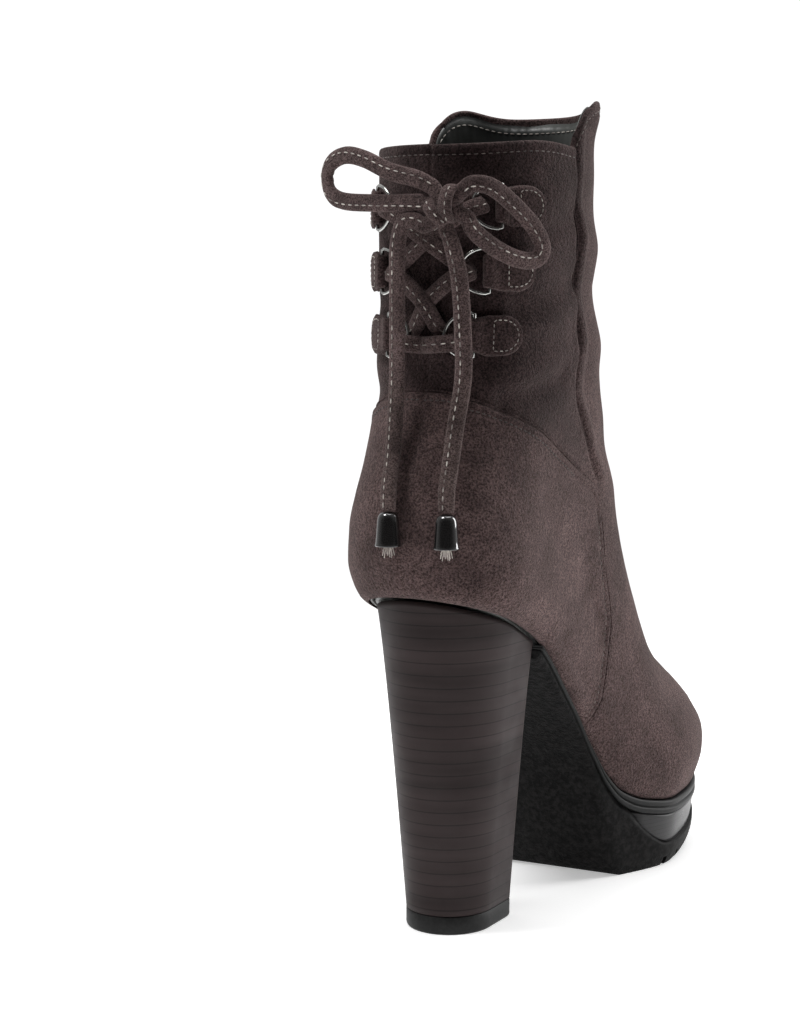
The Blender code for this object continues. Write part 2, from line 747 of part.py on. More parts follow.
def lug_cutter(helpers):
    """Upright notches spaced round the front of the tread, on both sides."""
    work = bmesh.new()
    for side in (LATERAL, MEDIAL):
        edge = edge_line(side)
        line = edge[edge[:, 1] > LUG_START * SHOE_LENGTH - COUNTER_BACK].copy()
        line[:, 2] = 0
        spots = resample(line, (np.arange(LUG_COUNT) + 0.4) / LUG_COUNT)
        ahead = resample(line, (np.arange(LUG_COUNT) + 0.45) / LUG_COUNT) - spots
        for spot, way in zip(spots, ahead):
            box = bmesh.ops.create_cube(work, size=1)["verts"]
            turn = math.atan2(way[1], way[0])
            size = (LUG_WIDTH, 2 * LUG_REACH, 2 * LUG_HEIGHT + 2 * float(floor_height(spot[1])))
            for vert in box:
                x, y, z = vert.co.x * size[0], vert.co.y * size[1], vert.co.z * size[2]
                vert.co = (
                    spot[0] + x * math.cos(turn) - y * math.sin(turn),
                    spot[1] + x * math.sin(turn) + y * math.cos(turn),
                    z,
                )
    mesh = bpy.data.meshes.new("lug_notches")
    work.to_mesh(mesh)
    work.free()
    cutter = bpy.data.objects.new("lug_notches", mesh)
    cutter.hide_render = True
    cutter.display_type = "WIRE"
    helpers.objects.link(cutter)
    return cutter


def heel_outline(half, back, front, corner):
    """A D in plan: half an ellipse round the back, straight sides and a flat front with rounded corners."""
    points = []
    for angle in np.linspace(math.pi / 2, 0, 12):
        points.append((half * math.cos(angle), -back * math.sin(angle)))
    for angle in np.linspace(0, math.pi / 2, 4):
        points.append((half - corner + corner * math.cos(angle), front - corner + corner * math.sin(angle)))
    right = np.array(points)
    left = right[::-1] * (-1, 1)
    return np.vstack([right, left])


def heel_section(share):
    """The heel's outline at a share of its height, 0 at the seat and 1 at the lift. It narrows faster near the top."""
    ease = share**0.82
    half = (HEEL_TOP_WIDTH * (1 - ease) + HEEL_FOOT_WIDTH * ease) / 2
    back = HEEL_TOP_BACK * (1 - ease) + HEEL_FOOT_BACK * ease
    front = BREAST * (1 - share) + HEEL_FOOT_FRONT * share
    return heel_outline(half, back, front, HEEL_CORNER)


def make_heel(finish, collection):
    rings = []
    for share in np.linspace(1, 0, 8):
        plan = heel_section(share)
        top = sole_height(plan[:, 1]) - GAP
        bottom = LIFT_THICKNESS + GAP
        rings.append(np.column_stack([plan, bottom * share + top * (1 - share)]))
    return add_rings("heel", rings, finish, collection)


def make_heel_lift(finish, collection):
    plan = heel_section(1.0)
    rings = [np.column_stack([plan * 0.97, np.zeros(len(plan))])]
    for height in (0.6 * MM, LIFT_THICKNESS):
        rings.append(np.column_stack([plan, np.full(len(plan), height)]))
    return add_rings("heel_lift", rings, finish, collection)


def tab_path(bar):
    """A ring tab in section, as (distance round the shaft, lift): up from the stitched end, round the bar and back."""
    fold = RING_WIRE / 2 + GAP + TAB_SHEET / 2
    low = GAP + TAB_SHEET / 2
    centre = low + fold
    flat_top = low + TAB_SHEET + GAP
    end = TAB_REACH - GAP
    path = [(bar + end * share, low) for share in (1, 0.75, 0.5, 0.25)]
    for angle in np.linspace(-math.pi / 2, -3 * math.pi / 2, 7):
        path.append((bar + fold * math.cos(angle), centre + fold * math.sin(angle)))
    path += [(bar + end * share, flat_top) for share in (0.35, 0.6, 0.8, 1)]
    return path


def tab_half_height(reach):
    """Half the tab's height: narrower at the fold, then straight, then a half round at its stitched end."""
    radius = TAB_HEIGHT / 2
    past = np.clip((reach - TAB_REACH + radius) / radius, 0, 0.985)
    widen = np.clip(reach / (0.3 * TAB_HEIGHT), 0, 1)
    return radius * math.sqrt(1 - past**2) * (TAB_FOLD_SHARE + (1 - TAB_FOLD_SHARE) * widen)


def make_ring_tabs(slices, finish, collection):
    for side_name, side in SIDES.items():
        for level, height in RING_LEVELS.items():
            bar = RING_BARS[level]
            grid = []
            for arc, lift in tab_path(bar):
                half = tab_half_height(arc - bar)
                grid.append([on_back(slices, side, arc, height + half * r, lift) for r in (-1, 0, 1)])
            add_sheet(
                f"ring_tab_{side_name}_{level}", np.array(grid), TAB_SHEET, finish, collection, flip=True, offset=0
            )


def ring_path(bar):
    """A D ring as (distance round the shaft, height): its straight bar and its bow toward the middle of the back."""
    half = RING_HEIGHT / 2 - RING_WIRE / 2
    corner = 1.2 * MM
    path = [(bar, half * share) for share in (-0.95, -0.4, 0.4, 0.95)]
    for angle in np.linspace(math.pi / 2, 3 * math.pi / 2, 11):
        path.append((bar - corner + (RING_DEPTH - corner) * math.cos(angle), half * math.sin(angle)))
    return path


def make_rings(slices, finish, collection):
    lift = GAP + TAB_SHEET + GAP + RING_WIRE / 2
    for side_name, side in SIDES.items():
        for level, height in RING_LEVELS.items():
            points = [on_back(slices, side, arc, height + up, lift) for arc, up in ring_path(RING_BARS[level])]
            add_tube(f"d_ring_{side_name}_{level}", points, RING_WIRE, finish, collection, cyclic=True, resolution=2)


def seam_strip(side, seam, top, bottom, shift_low, shift_high, lift, count):
    """A strip along a side seam: two rows of points on the upper's side, at shifts ahead of the seam."""
    grid = []
    for height in np.linspace(bottom, top, count):
        seam_y = table_curve(seam, height / BACK_RIM_HEIGHT) * SHOE_LENGTH
        row = [on_side(side, seam_y + shift, height, lift)[0] for shift in (shift_low, 0, shift_high)]
        grid.append(row)
    return np.array(grid)


def make_zip(tape_finish, teeth_finish, collection):
    top = BACK_RIM_HEIGHT - ZIP_DROP
    bottom = ZIP_FOOT * BACK_RIM_HEIGHT
    tape_lift = GAP + PANEL_THICKNESS + GAP
    tape = seam_strip(MEDIAL, MEDIAL_SEAM, top, bottom, -ZIP_TAPE / 2, ZIP_TAPE / 2, tape_lift, 26)
    add_sheet("zip_tape", tape, ZIP_TAPE_THICKNESS, tape_finish, collection)
    teeth_lift = tape_lift + ZIP_TAPE_THICKNESS + GAP
    teeth = seam_strip(
        MEDIAL, MEDIAL_SEAM, top - SLIDER_LENGTH - 2 * SLIDER_DROP, bottom, -ZIP_TEETH / 2, ZIP_TEETH / 2, teeth_lift, 26
    )
    add_sheet("zip_teeth", teeth, ZIP_TEETH_THICKNESS, teeth_finish, collection)
    return top, teeth_lift


def slider_frame(top, lift):
    """The zip slider's centre, the level way out of the boot there, and the turn about Z that faces it."""
    height = top - SLIDER_LENGTH / 2 - SLIDER_DROP
    seam_y = table_curve(MEDIAL_SEAM, height / BACK_RIM_HEIGHT) * SHOE_LENGTH
    centre, normal = on_side(MEDIAL, seam_y, height, lift + SLIDER_THICKNESS / 2)
    out = np.array([normal[0], normal[1], 0])
    out /= np.linalg.norm(out)
    return centre, out, math.atan2(-out[1], -out[0])


def add_box(name, centre, size, finish, collection, turn=0.0, bevel=0.0):
    work = bmesh.new()
    bmesh.ops.create_cube(work, size=1)
    for vert in work.verts:
        vert.co = (vert.co.x * size[0], vert.co.y * size[1], vert.co.z * size[2])
    mesh = bpy.data.meshes.new(name)
    work.to_mesh(mesh)
    work.free()
    mesh.materials.append(finish)
    obj = bpy.data.objects.new(name, mesh)
    obj.location = centre
    obj.rotation_euler = (0, 0, turn)
    collection.objects.link(obj)
    if bevel:
        rounded = obj.modifiers.new("edges", "BEVEL")
        rounded.width = bevel
        rounded.segments = 2
    return obj


def combine(obj, helper, operation):
    """Joins or cuts an object with a hidden helper."""
    helper.hide_render = True
    helper.display_type = "WIRE"
    step = obj.modifiers.new(operation.lower(), "BOOLEAN")
    step.operation = operation
    step.object = helper
    step.solver = "EXACT"


def add_pin(name, centre, radius, length, turn, finish, collection):
    """A cylinder that lies level, across the way that turn faces."""
    work = bmesh.new()
    bmesh.ops.create_cone(work, cap_ends=True, segments=16, radius1=radius, radius2=radius, depth=length)
    mesh = bpy.data.meshes.new(name)
    work.to_mesh(mesh)
    work.free()
    mesh.materials.append(finish)
    obj = bpy.data.objects.new(name, mesh)
    obj.location = centre
    obj.rotation_euler = (math.pi / 2, 0, turn)
    collection.objects.link(obj)
    return obj


def make_slider(finish, top, lift, collection, helpers):
    """The slider body with two ears and a pin, and the pull tab that swings on the pin."""
    centre, out, turn = slider_frame(top, lift)
    across = np.array([-math.sin(turn), math.cos(turn), 0])
    body_size = (SLIDER_THICKNESS, SLIDER_WIDTH, SLIDER_LENGTH)
    body = add_box("zip_slider", centre, body_size, finish, collection, turn, 0.6 * MM)
    stand = PULL_KNUCKLE / 2 + GAP
    pivot = centre + out * (SLIDER_THICKNESS / 2 + stand) + np.array([0, 0, SLIDER_LENGTH * PULL_RISE])
    ear_depth = SLIDER_THICKNESS / 2 + stand + PULL_KNUCKLE / 2
    ear_size = (ear_depth, EAR_THICKNESS, PULL_KNUCKLE)
    ear_middle = pivot + out * (PULL_KNUCKLE / 2 - ear_depth / 2)
    ear_place = PULL_EYE_WIDTH / 2 + GAP + EAR_THICKNESS / 2
    for name, side in (("ear_front", 1), ("ear_back", -1)):
        combine(body, add_box(name, ear_middle + across * side * ear_place, ear_size, finish, helpers, turn), "UNION")
    pin_length = 2 * ear_place + EAR_THICKNESS / 2
    combine(body, add_pin("pull_pin", pivot, PULL_PIN / 2, pin_length, turn, finish, helpers), "UNION")
    make_pull(finish, pivot, turn, collection, helpers)


def make_pull(finish, pivot, turn, collection, helpers):
    """A slim plate, rounded at its foot, that hangs from a bored knuckle on the slider's pin."""
    half, eye = PULL_WIDTH / 2, PULL_EYE_WIDTH / 2
    shoulder = -PULL_KNUCKLE * 1.4
    foot = [
        (half * math.cos(a), half - PULL_LENGTH + half * math.sin(a)) for a in np.linspace(math.pi, 2 * math.pi, 9)
    ]
    neck = -PULL_PIN / 2 - 4 / 3 * GAP
    points = [(eye, neck), (-eye, neck), (-eye, shoulder), (-half, shoulder * 2)] + foot
    points += [(half, shoulder * 2), (eye, shoulder)]
    curve = bpy.data.curves.new("zip_pull", "CURVE")
    curve.dimensions = "2D"
    curve.fill_mode = "BOTH"
    curve.extrude = PULL_THICKNESS / 2
    spline = curve.splines.new("POLY")
    spline.points.add(len(points) - 1)
    for point, place in zip(spline.points, points):
        point.co = (*place, 0, 1)
    spline.use_cyclic_u = True
    curve.materials.append(finish)
    obj = bpy.data.objects.new("zip_pull", curve)
    collection.objects.link(obj)
    obj.rotation_euler = (math.pi / 2, 0, math.pi / 2 + turn)
    obj.location = pivot
    bpy.context.view_layer.update()
    pull = to_mesh_object(obj)
    knuckle = add_pin("pull_knuckle", pivot, PULL_KNUCKLE / 2, PULL_EYE_WIDTH, turn, finish, helpers)
    combine(pull, knuckle, "UNION")
    bore = add_pin("pull_bore", pivot, PULL_PIN / 2 + GAP, 2 * PULL_EYE_WIDTH, turn, finish, helpers)
    combine(pull, bore, "DIFFERENCE")


def crossing_route(side, slices, lift):
    """One strand between the rings, from the low ring on a side to the middle ring opposite and back to the top."""
    low, mid, top = (RING_LEVELS[level] for level in ("low", "mid", "top"))
    ends = {level: bar - RING_DEPTH / 2 for level, bar in RING_BARS.items()}
    stops = [
        (side * ends["low"], low - LACE_DROP),
        (side * ends["low"] * 0.55, low * 0.72 + mid * 0.28),
        (0.0, (low + mid) / 2),
        (-side * ends["mid"] * 0.6, low * 0.25 + mid * 0.75),
        (-side * ends["mid"], mid - LACE / 4),
        (-side * ends["mid"], mid + LACE / 4),
        (-side * ends["mid"] * 0.6, mid * 0.75 + top * 0.25),
        (0.0, (mid + top) / 2),
        (side * ends["top"] * 0.6, mid * 0.25 + top * 0.75),
        (side * ends["top"], top),
    ]
    return [on_back(slices, LATERAL if arc >= 0 else MEDIAL, abs(arc), z, lift) for arc, z in stops]


def make_lace_crossings(slices, finish, collection, helpers):
    """The bar and the two crossed strands as one solid that lies over the rings."""
    lift = GAP + TAB_SHEET + GAP + RING_WIRE + GAP + LACE / 2
    height = RING_LEVELS["low"] - LACE_DROP
    reach = RING_BARS["low"] - RING_DEPTH / 2
    bar = [on_back(slices, side, arc * reach, height, lift) for side, arc in ((-1, 1), (-1, 0.5), (1, 0), (1, 0.5), (1, 1))]
    first = add_tube("lace_crossings", smooth_route(crossing_route(LATERAL, slices, lift), 26), LACE, finish, collection)
    second = add_tube("lace_strand", smooth_route(crossing_route(MEDIAL, slices, lift), 26), LACE, finish, helpers)
    level = add_tube("lace_bar", smooth_route(bar, 7), LACE, finish, helpers)
    bpy.context.view_layer.update()
    first, second, level = (to_mesh_object(tube) for tube in (first, second, level))
    combine(first, second, "UNION")
    combine(first, level, "UNION")


def make_knot(finish, collection):
    bpy.ops.mesh.primitive_uv_sphere_add(segments=14, ring_count=9, radius=1, location=KNOT_CENTRE)
    obj = bpy.context.active_object
    obj.name = obj.data.name = "lace_knot"
    obj.scale = KNOT_RADII
    obj.data.materials.append(finish)
    for owner in list(obj.users_collection):
        owner.objects.unlink(obj)
    collection.objects.link(obj)


def in_metres(route):
    return [(x * MM, y * MM, z * MM) for x, y, z in route]


def make_bow(finish, collection):
    for name, (route, count) in LACE_ROUTES.items():
        add_tube(name, smooth_route(in_metres(route), count), LACE, finish, collection)


def add_lathe(name, profile, place, finish, collection, steps=16):
    """A turned solid from a profile of (radius, height) that runs from its top to its bottom on the axis."""
    mesh = bpy.data.meshes.new(name)
    verts = [(radius, 0, height) for radius, height in profile]
    mesh.from_pydata(verts, [(i, i + 1) for i in range(len(verts) - 1)], [])
    mesh.materials.append(finish)
    obj = bpy.data.objects.new(name, mesh)
    obj.location = place
    collection.objects.link(obj)
    screw = obj.modifiers.new("turn", "SCREW")
    screw.steps = screw.render_steps = steps
    screw.use_merge_vertices = True
    screw.merge_threshold = 0.0001 * MM
    return obj


def make_bells(finish, collection):
    """The domed caps at the lace's ends, each hanging just under its end."""
    neck, rim = BELL_RADIUS * 0.74, BELL_RADIUS
    profile = [
        (0, 0),
        (neck * 0.6, -0.05 * BELL_HEIGHT),
        (neck * 0.92, -0.16 * BELL_HEIGHT),
        (neck, -0.3 * BELL_HEIGHT),
        (neck * 1.08, -0.72 * BELL_HEIGHT),
        (rim, -0.9 * BELL_HEIGHT),
        (rim, -BELL_HEIGHT),
        (0, -BELL_HEIGHT),
    ]
    for side_name in SIDES:
        end = np.array(LACE_ROUTES[f"lace_end_{side_name}"][0][-1]) * MM
        add_lathe(f"bell_{side_name}", profile, end - (0, 0, 2 * GAP), finish, collection)


def main():
    clear_scene()
    collection = bpy.data.collections.new("platform_lace_boot")
    helpers = bpy.data.collections.new("cutters")
    for made in (collection, helpers):
        bpy.context.scene.collection.children.link(made)
    suede = material("suede", (0.115, 0.088, 0.082), 0.95)
    rubber = material("rubber", (0.012, 0.012, 0.013), 0.55)
    stack = material("stacked_heel", (0.045, 0.04, 0.041), 0.38)
    lining = material("insole_board", (0.06, 0.062, 0.06), 0.8)
    lace = material("lace_suede", (0.13, 0.1, 0.09), 0.9)
    nickel = material("nickel", (0.6, 0.6, 0.58), 0.22, 1.0)
    gunmetal = material("gunmetal", (0.02, 0.018, 0.018), 0.15, 0.9)
    tape = material("zip_tape", (0.02, 0.019, 0.02), 0.85)
    slices = shaft_slices()
    make_upper(suede, collection)
    make_insole(lining, collection)
    make_welt(rubber, collection)
    make_platform(stack, collection)
    make_outsole(rubber, collection, helpers)
    make_heel(stack, collection)
    make_heel_lift(rubber, collection)
    make_ring_tabs(slices, suede, collection)
    make_rings(slices, nickel, collection)
    make_lace_crossings(slices, lace, collection, helpers)
    make_knot(lace, collection)
    make_bow(lace, collection)
    make_bells(gunmetal, collection)
    teeth = material("zip_teeth", (0.014, 0.013, 0.014), 0.4)
    top, teeth_lift = make_zip(tape, teeth, collection)
    make_slider(nickel, top, teeth_lift, collection, helpers)


main()
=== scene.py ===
"""Dresses the right-foot platform boot: suede with folds, seams, stitches, lining, laces, zip, heel and sole.

Sizes and the upper's functions are those of the part's source, repeated here because this script reads only
the frame.
"""

import functools
import json
import math

import bmesh
import bpy
import numpy as np
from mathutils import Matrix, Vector, noise

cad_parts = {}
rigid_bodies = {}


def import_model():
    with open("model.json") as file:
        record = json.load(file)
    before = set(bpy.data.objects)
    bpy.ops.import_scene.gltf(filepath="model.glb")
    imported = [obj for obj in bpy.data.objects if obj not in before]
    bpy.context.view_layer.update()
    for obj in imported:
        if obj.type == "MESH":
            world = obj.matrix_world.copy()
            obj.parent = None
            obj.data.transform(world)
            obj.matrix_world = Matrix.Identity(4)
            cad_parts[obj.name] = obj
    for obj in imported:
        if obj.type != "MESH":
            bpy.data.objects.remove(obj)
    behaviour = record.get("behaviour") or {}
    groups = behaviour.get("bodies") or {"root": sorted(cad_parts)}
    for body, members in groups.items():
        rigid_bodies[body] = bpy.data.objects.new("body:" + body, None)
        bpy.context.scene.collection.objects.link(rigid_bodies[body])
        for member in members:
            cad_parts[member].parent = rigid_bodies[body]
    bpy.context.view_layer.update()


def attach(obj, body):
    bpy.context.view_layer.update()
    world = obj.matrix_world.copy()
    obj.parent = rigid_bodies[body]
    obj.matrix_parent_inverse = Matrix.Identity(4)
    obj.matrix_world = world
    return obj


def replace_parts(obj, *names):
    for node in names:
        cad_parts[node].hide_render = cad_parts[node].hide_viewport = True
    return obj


MM = 0.001
LATERAL = 1
MEDIAL = -1
SIDES = {"lateral": LATERAL, "medial": MEDIAL}

# Sizes of the part
COUNTER_BACK = 37 * MM
SHOE_LENGTH = 225 * MM
BALL_WIDTH = 90 * MM
BALL_TO_TOE = 78 * MM
COUNTER_WIDTH = 66 * MM
TOE_SWING = 5 * MM
SEAT_HEIGHT = 123.5 * MM
PLATFORM_HEIGHT = 26.6 * MM
TOE_SPRING = 3.5 * MM
TREAD_SPRING = 12 * MM
COLLAR_WIDTH = 72 * MM
COLLAR_DEPTH = 89 * MM
COLLAR_BACK = 17 * MM
BACK_RIM_HEIGHT = 276 * MM
FRONT_PEAK_HEIGHT = 294 * MM
RIM_CORNER = 18 * MM
TUBE_TOP = 300 * MM
WALL = 2.2 * MM
GAP = 0.3 * MM
BREAST = 18 * MM
OUTSOLE_EDGE = 3.2 * MM
WELT_EDGE = 5.4 * MM
WELT_SHANK_EDGE = 1.6 * MM
WELT_PROUD = 1.0 * MM
TREAD_HEIGHT = 8.5 * MM
TREAD_INSET = 2.4 * MM
LUG_WIDTH = 2.4 * MM
LUG_HEIGHT = 3.4 * MM
LUG_REACH = 5.5 * MM
LUG_COUNT = 9
LUG_START = 0.62
PLATFORM_START = 0.57
INSOLE_THICKNESS = 2.4 * MM
HEEL_TOP_WIDTH = 50 * MM
HEEL_TOP_BACK = 31 * MM
HEEL_FOOT_WIDTH = 31.5 * MM
HEEL_FOOT_BACK = 17 * MM
HEEL_FOOT_FRONT = 19 * MM
HEEL_CORNER = 3.5 * MM
LIFT_THICKNESS = 6.5 * MM
PANEL_THICKNESS = 1.0 * MM
TAB_HEIGHT = 14 * MM
TAB_SHEET = 1.1 * MM
TAB_FOLD_SHARE = 0.82
TAB_REACH = 16.5 * MM
RING_HEIGHT = 17 * MM
RING_DEPTH = 9.5 * MM
RING_WIRE = 1.6 * MM
RING_LEVELS = {"low": 211.5 * MM, "mid": 233.5 * MM, "top": 255.5 * MM}
RING_BARS = {"low": 16 * MM, "mid": 20.5 * MM, "top": 24.5 * MM}
LACE_DROP = 3.2 * MM
BELL_HEIGHT = 12 * MM
BELL_RADIUS = 4.6 * MM
ZIP_TAPE = 9 * MM
ZIP_TAPE_THICKNESS = 0.7 * MM
SLIDER_LENGTH = 9 * MM
ZIP_FOOT = 0.30

# Sizes of the dressing
LACE_WIDTH = 6.0 * MM
LACE_THICKNESS = 3.4 * MM
WIRE = 1.25 * MM  # the rings' wire
RIM_DIP = 3.2 * MM  # how far the front rim dips between its corners
RIM_WAVE = 2.2 * MM  # how far the back rim swells beside the middle, on the outer side
MEDIAL_CORNER = 5 * MM  # how far ahead of the zip the front panel's inner corner starts
CORNER_ROUND = 2.6 * MM  # how far the corner of the quarter's seams is rounded in
RIM_ROLL = 1.1 * MM
SHELL = 1.2 * MM  # thickness of the suede, inside which the lining lies
LINING = 0.7 * MM
FOLD_EDGE = 0.3 * MM  # radius of a panel's folded edge
STITCH = 0.24 * MM  # radius of a stitch
LEVEL_LINE = 4.5 * MM  # distance between the heel's level lines
ZIP_FACING = 2.3 * MM  # how far the suede beside the zip stands up
COLUMN_COUNT = 206
ROW_COUNT = 200

SOLE_PROFILE = [
    # run, drop
    (0.00, 0.00),
    (0.16, 0.135),
    (0.244, 0.232),
    (0.29, 0.315),
    (0.345, 0.43),
    (0.415, 0.585),
    (0.465, 0.73),
    (0.50, 0.845),
    (0.535, 0.925),
    (0.585, 0.975),
    (0.66, 1.00),
    (0.80, 1.00),
    (1.00, 1.00),
]
LOOP_COLUMNS = "rise back crown reach heel waist ball shaft heel_nose toe_nose dip".split()
LOOPS = [
    (0.000, 0.22, 0.000, 0.97, 0.81, 0.76, 0.975, 0.00, 0.92, 0.98, 1.00),
    (0.042, 0.09, 0.030, 1.00, 0.93, 0.86, 1.000, 0.00, 0.98, 1.00, 0.94),
    (0.090, 0.00, 0.062, 1.00, 0.99, 0.91, 0.990, 0.00, 1.03, 1.00, 0.86),
    (0.150, 0.03, 0.100, 0.95, 1.00, 0.93, 0.930, 0.00, 1.06, 0.98, 0.74),
    (0.215, 0.20, 0.140, 0.83, 0.98, 0.94, 0.860, 0.02, 1.08, 0.92, 0.60),
    (0.280, 0.45, 0.180, 0.63, 0.96, 0.95, 0.800, 0.08, 1.10, 0.84, 0.46),
    (0.350, 0.71, 0.250, 0.44, 0.95, 0.96, 0.760, 0.18, 1.12, 0.76, 0.30),
    (0.430, 0.90, 0.360, 0.27, 0.95, 0.97, 0.730, 0.34, 1.16, 0.70, 0.15),
    (0.520, 0.98, 0.490, 0.13, 0.96, 0.98, 0.730, 0.58, 1.22, 0.66, 0.05),
    (0.640, 1.02, 0.630, 0.04, 0.98, 1.00, 0.750, 0.82, 1.30, 0.62, 0.00),
    (0.790, 1.02, 0.780, 0.00, 1.00, 1.00, 0.780, 0.95, 1.36, 0.60, 0.00),
    (1.000, 1.00, 1.000, 0.00, 1.00, 1.00, 0.800, 1.00, 1.40, 0.60, 0.00),
]
STATIONS = (0.0, 0.16, 0.42, 0.68, 1.0)
NOSE_POWER = 2.15
LATERAL_SEAM = [
    # down, ahead
    (1.00, 0.113),
    (0.81, 0.122),
    (0.71, 0.132),
    (0.61, 0.194),
    (0.575, 0.223),
    (0.46, 0.262),
    (0.345, 0.296),
    (0.27, 0.288),
    (0.225, 0.266),
    (0.17, 0.240),
]
MEDIAL_SEAM = [
    # down, ahead
    (1.00, 0.186),
    (0.95, 0.187),
    (0.78, 0.198),
    (0.68, 0.213),
    (0.53, 0.242),
    (0.46, 0.268),
    (0.37, 0.292),
    (0.33, 0.275),
    (0.28, 0.247),
    (0.20, 0.222),
]
ARC_SEAM = [
    # ahead, down
    (-0.09, 0.698),
    (-0.075, 0.687),
    (0.022, 0.646),
    (0.09, 0.616),
    (0.158, 0.589),
    (0.22, 0.571),
    (0.30, 0.548),
]

# The upper's folds in millimetres, placed on its unrolled side. round: distance from the middle of
# the back, outer side positive. up: height. wide: half width. high: a ridge's height, or a trough's depth as
# a negative number.
FOLDS = [
    # round, up, round, up, wide, high
    (29, 189, 58, 197, 5.5, -1.9),
    (25, 196, 67, 204, 6.0, 1.3),
    (33, 221, 64, 230, 5.0, -1.5),
    (31, 213, 66, 222, 5.0, 1.0),
    (14, 268, 33, 270, 6.0, -0.7),
    (3, 273, 14, 275, 5.0, 0.4),
    (45, 246, 61, 253, 4.5, -1.2),
    (44, 258, 59, 265, 5.0, 0.9),
    (-15, 197, 5, 196, 5.0, -0.6),
    (72, 245, 96, 242, 7.0, 1.5),
    (70, 259, 90, 259, 6.0, -1.1),
    (74, 226, 96, 225, 6.5, -1.4),
    (77, 209, 96, 207, 7.0, 1.3),
    (80, 190, 98, 188, 6.0, -1.1),
    (82, 292, 88, 290, 8.0, 2.6),
    (76, 102, 115, 75, 5.0, 0.6),
    (87, 102, 128, 77, 4.0, -0.5),
    (104, 172, 138, 160, 7.0, -0.9),
    (110, 160, 148, 146, 7.0, 0.7),
    (-30, 190, -58, 199, 6.0, -1.0),
    (-28, 199, -64, 207, 6.0, 0.7),
    (-36, 222, -60, 230, 5.0, -0.6),
    (-90, 232, -106, 228, 8.0, 0.8),
    (-92, 210, -108, 207, 8.0, -0.8),
    (-112, 172, -140, 162, 7.0, -0.9),
    (-116, 160, -150, 148, 7.0, 0.6),
]

# The bow and the hanging ends, in millimetres
KNOT_CENTRE = (13 * MM, -30.4 * MM, 255 * MM)
KNOT_CORE = (-0.5, -1.2, -1.2)
KNOT_BANDS = [
    # middle, tilt, deep, high, width
    ((2.2, -0.8, 0.8), 0.1, 4.2, 5.2, 5.0),
    ((-2.6, -0.6, -2.4), -0.75, 3.8, 4.4, 4.6),
]
LACE_ROUTES = {
    "bow_loop_medial": [
        (8.3, -30.4, 261.2),
        (3.0, -31.0, 264.0),
        (-8.0, -31.2, 267.0),
        (-18.0, -30.2, 271.3),
        (-26.5, -28.0, 273.0),
        (-33.5, -25.5, 271.0),
        (-36.8, -23.5, 266.5),
        (-35.0, -24.0, 260.5),
        (-28.5, -26.0, 257.5),
        (-14.0, -29.3, 256.5),
        (-3.0, -30.4, 256.2),
        (5.0, -30.4, 255.8),
    ],
    "bow_loop_lateral": [
        (18.9, -30.2, 260.0),
        (22.0, -28.8, 262.2),
        (26.5, -24.5, 261.5),
        (30.0, -17.0, 257.0),
        (34.0, -8.0, 249.5),
        (36.0, -3.2, 242.0),
        (34.4, -4.6, 237.5),
        (30.8, -11.5, 237.5),
        (25.5, -19.0, 241.3),
        (21.5, -25.5, 246.5),
        (19.8, -28.3, 251.2),
    ],
    "lace_end_medial": [
        (5.4, -31.4, 248.6),
        (1.2, -31.2, 250.4),
        (-3.2, -30.5, 249.2),
        (-5.6, -29.8, 242.0),
        (-6.0, -29.4, 230.0),
        (-6.0, -29.4, 211.0),
        (-6.0, -29.8, 194.0),
        (-5.4, -33.4, 173.0),
        (-3.6, -39.4, 163.0),
        (-2.6, -42.0, 157.2),
        (-2.6, -42.1, 153.6),
    ],
    "lace_end_lateral": [
        (13.5, -30.8, 247.2),
        (15.4, -30.4, 242.0),
        (17.6, -29.4, 231.0),
        (18.6, -28.8, 215.0),
        (18.9, -28.8, 198.0),
        (17.2, -30.8, 182.0),
        (16.6, -33.9, 168.0),
        (17.4, -37.7, 161.0),
        (17.8, -38.8, 156.8),
        (17.8, -38.9, 153.4),
    ],
}


def eased(xs, ys, x):
    """A smooth curve through a table that never overshoots its values."""
    xs, ys = np.asarray(xs, float), np.asarray(ys, float)
    step = np.diff(xs)
    slope = np.diff(ys) / step
    grade = np.zeros(len(xs))
    grade[0], grade[-1] = slope[0], slope[-1]
    same = slope[:-1] * slope[1:] > 0
    inner = np.zeros(len(same))
    inner[same] = 2 / (1 / slope[:-1][same] + 1 / slope[1:][same])
    grade[1:-1] = inner
    x = np.clip(x, xs[0], xs[-1])
    i = np.clip(np.searchsorted(xs, x, side="right") - 1, 0, len(step) - 1)
    t = (x - xs[i]) / step[i]
    rest = 1 - t
    return (
        ys[i] * (1 + 2 * t) * rest**2
        + grade[i] * step[i] * t * rest**2
        + ys[i + 1] * t**2 * (3 - 2 * t)
        - grade[i + 1] * step[i] * t**2 * rest
    )


def table_curve(table, x):
    rows = sorted(table)
    return eased([r[0] for r in rows], [r[1] for r in rows], x)


def sole_height(y):
    run = (np.asarray(y) + COUNTER_BACK) / SHOE_LENGTH
    drop = table_curve(SOLE_PROFILE, run)
    spring = TOE_SPRING * np.clip((run - 0.78) / 0.22, 0, 1) ** 2
    return SEAT_HEIGHT - (SEAT_HEIGHT - PLATFORM_HEIGHT) * drop + spring


def loop_row(v):
    at = np.linspace(0, 1, len(LOOPS))
    return {name: eased(at, [row[i] for row in LOOPS], v) for i, name in enumerate(LOOP_COLUMNS)}


def nose(distance, length):
    share = 1 - np.clip(distance / length, 0, 1)
    return np.clip(1 - share**NOSE_POWER, 0, 1) ** (1 / NOSE_POWER)


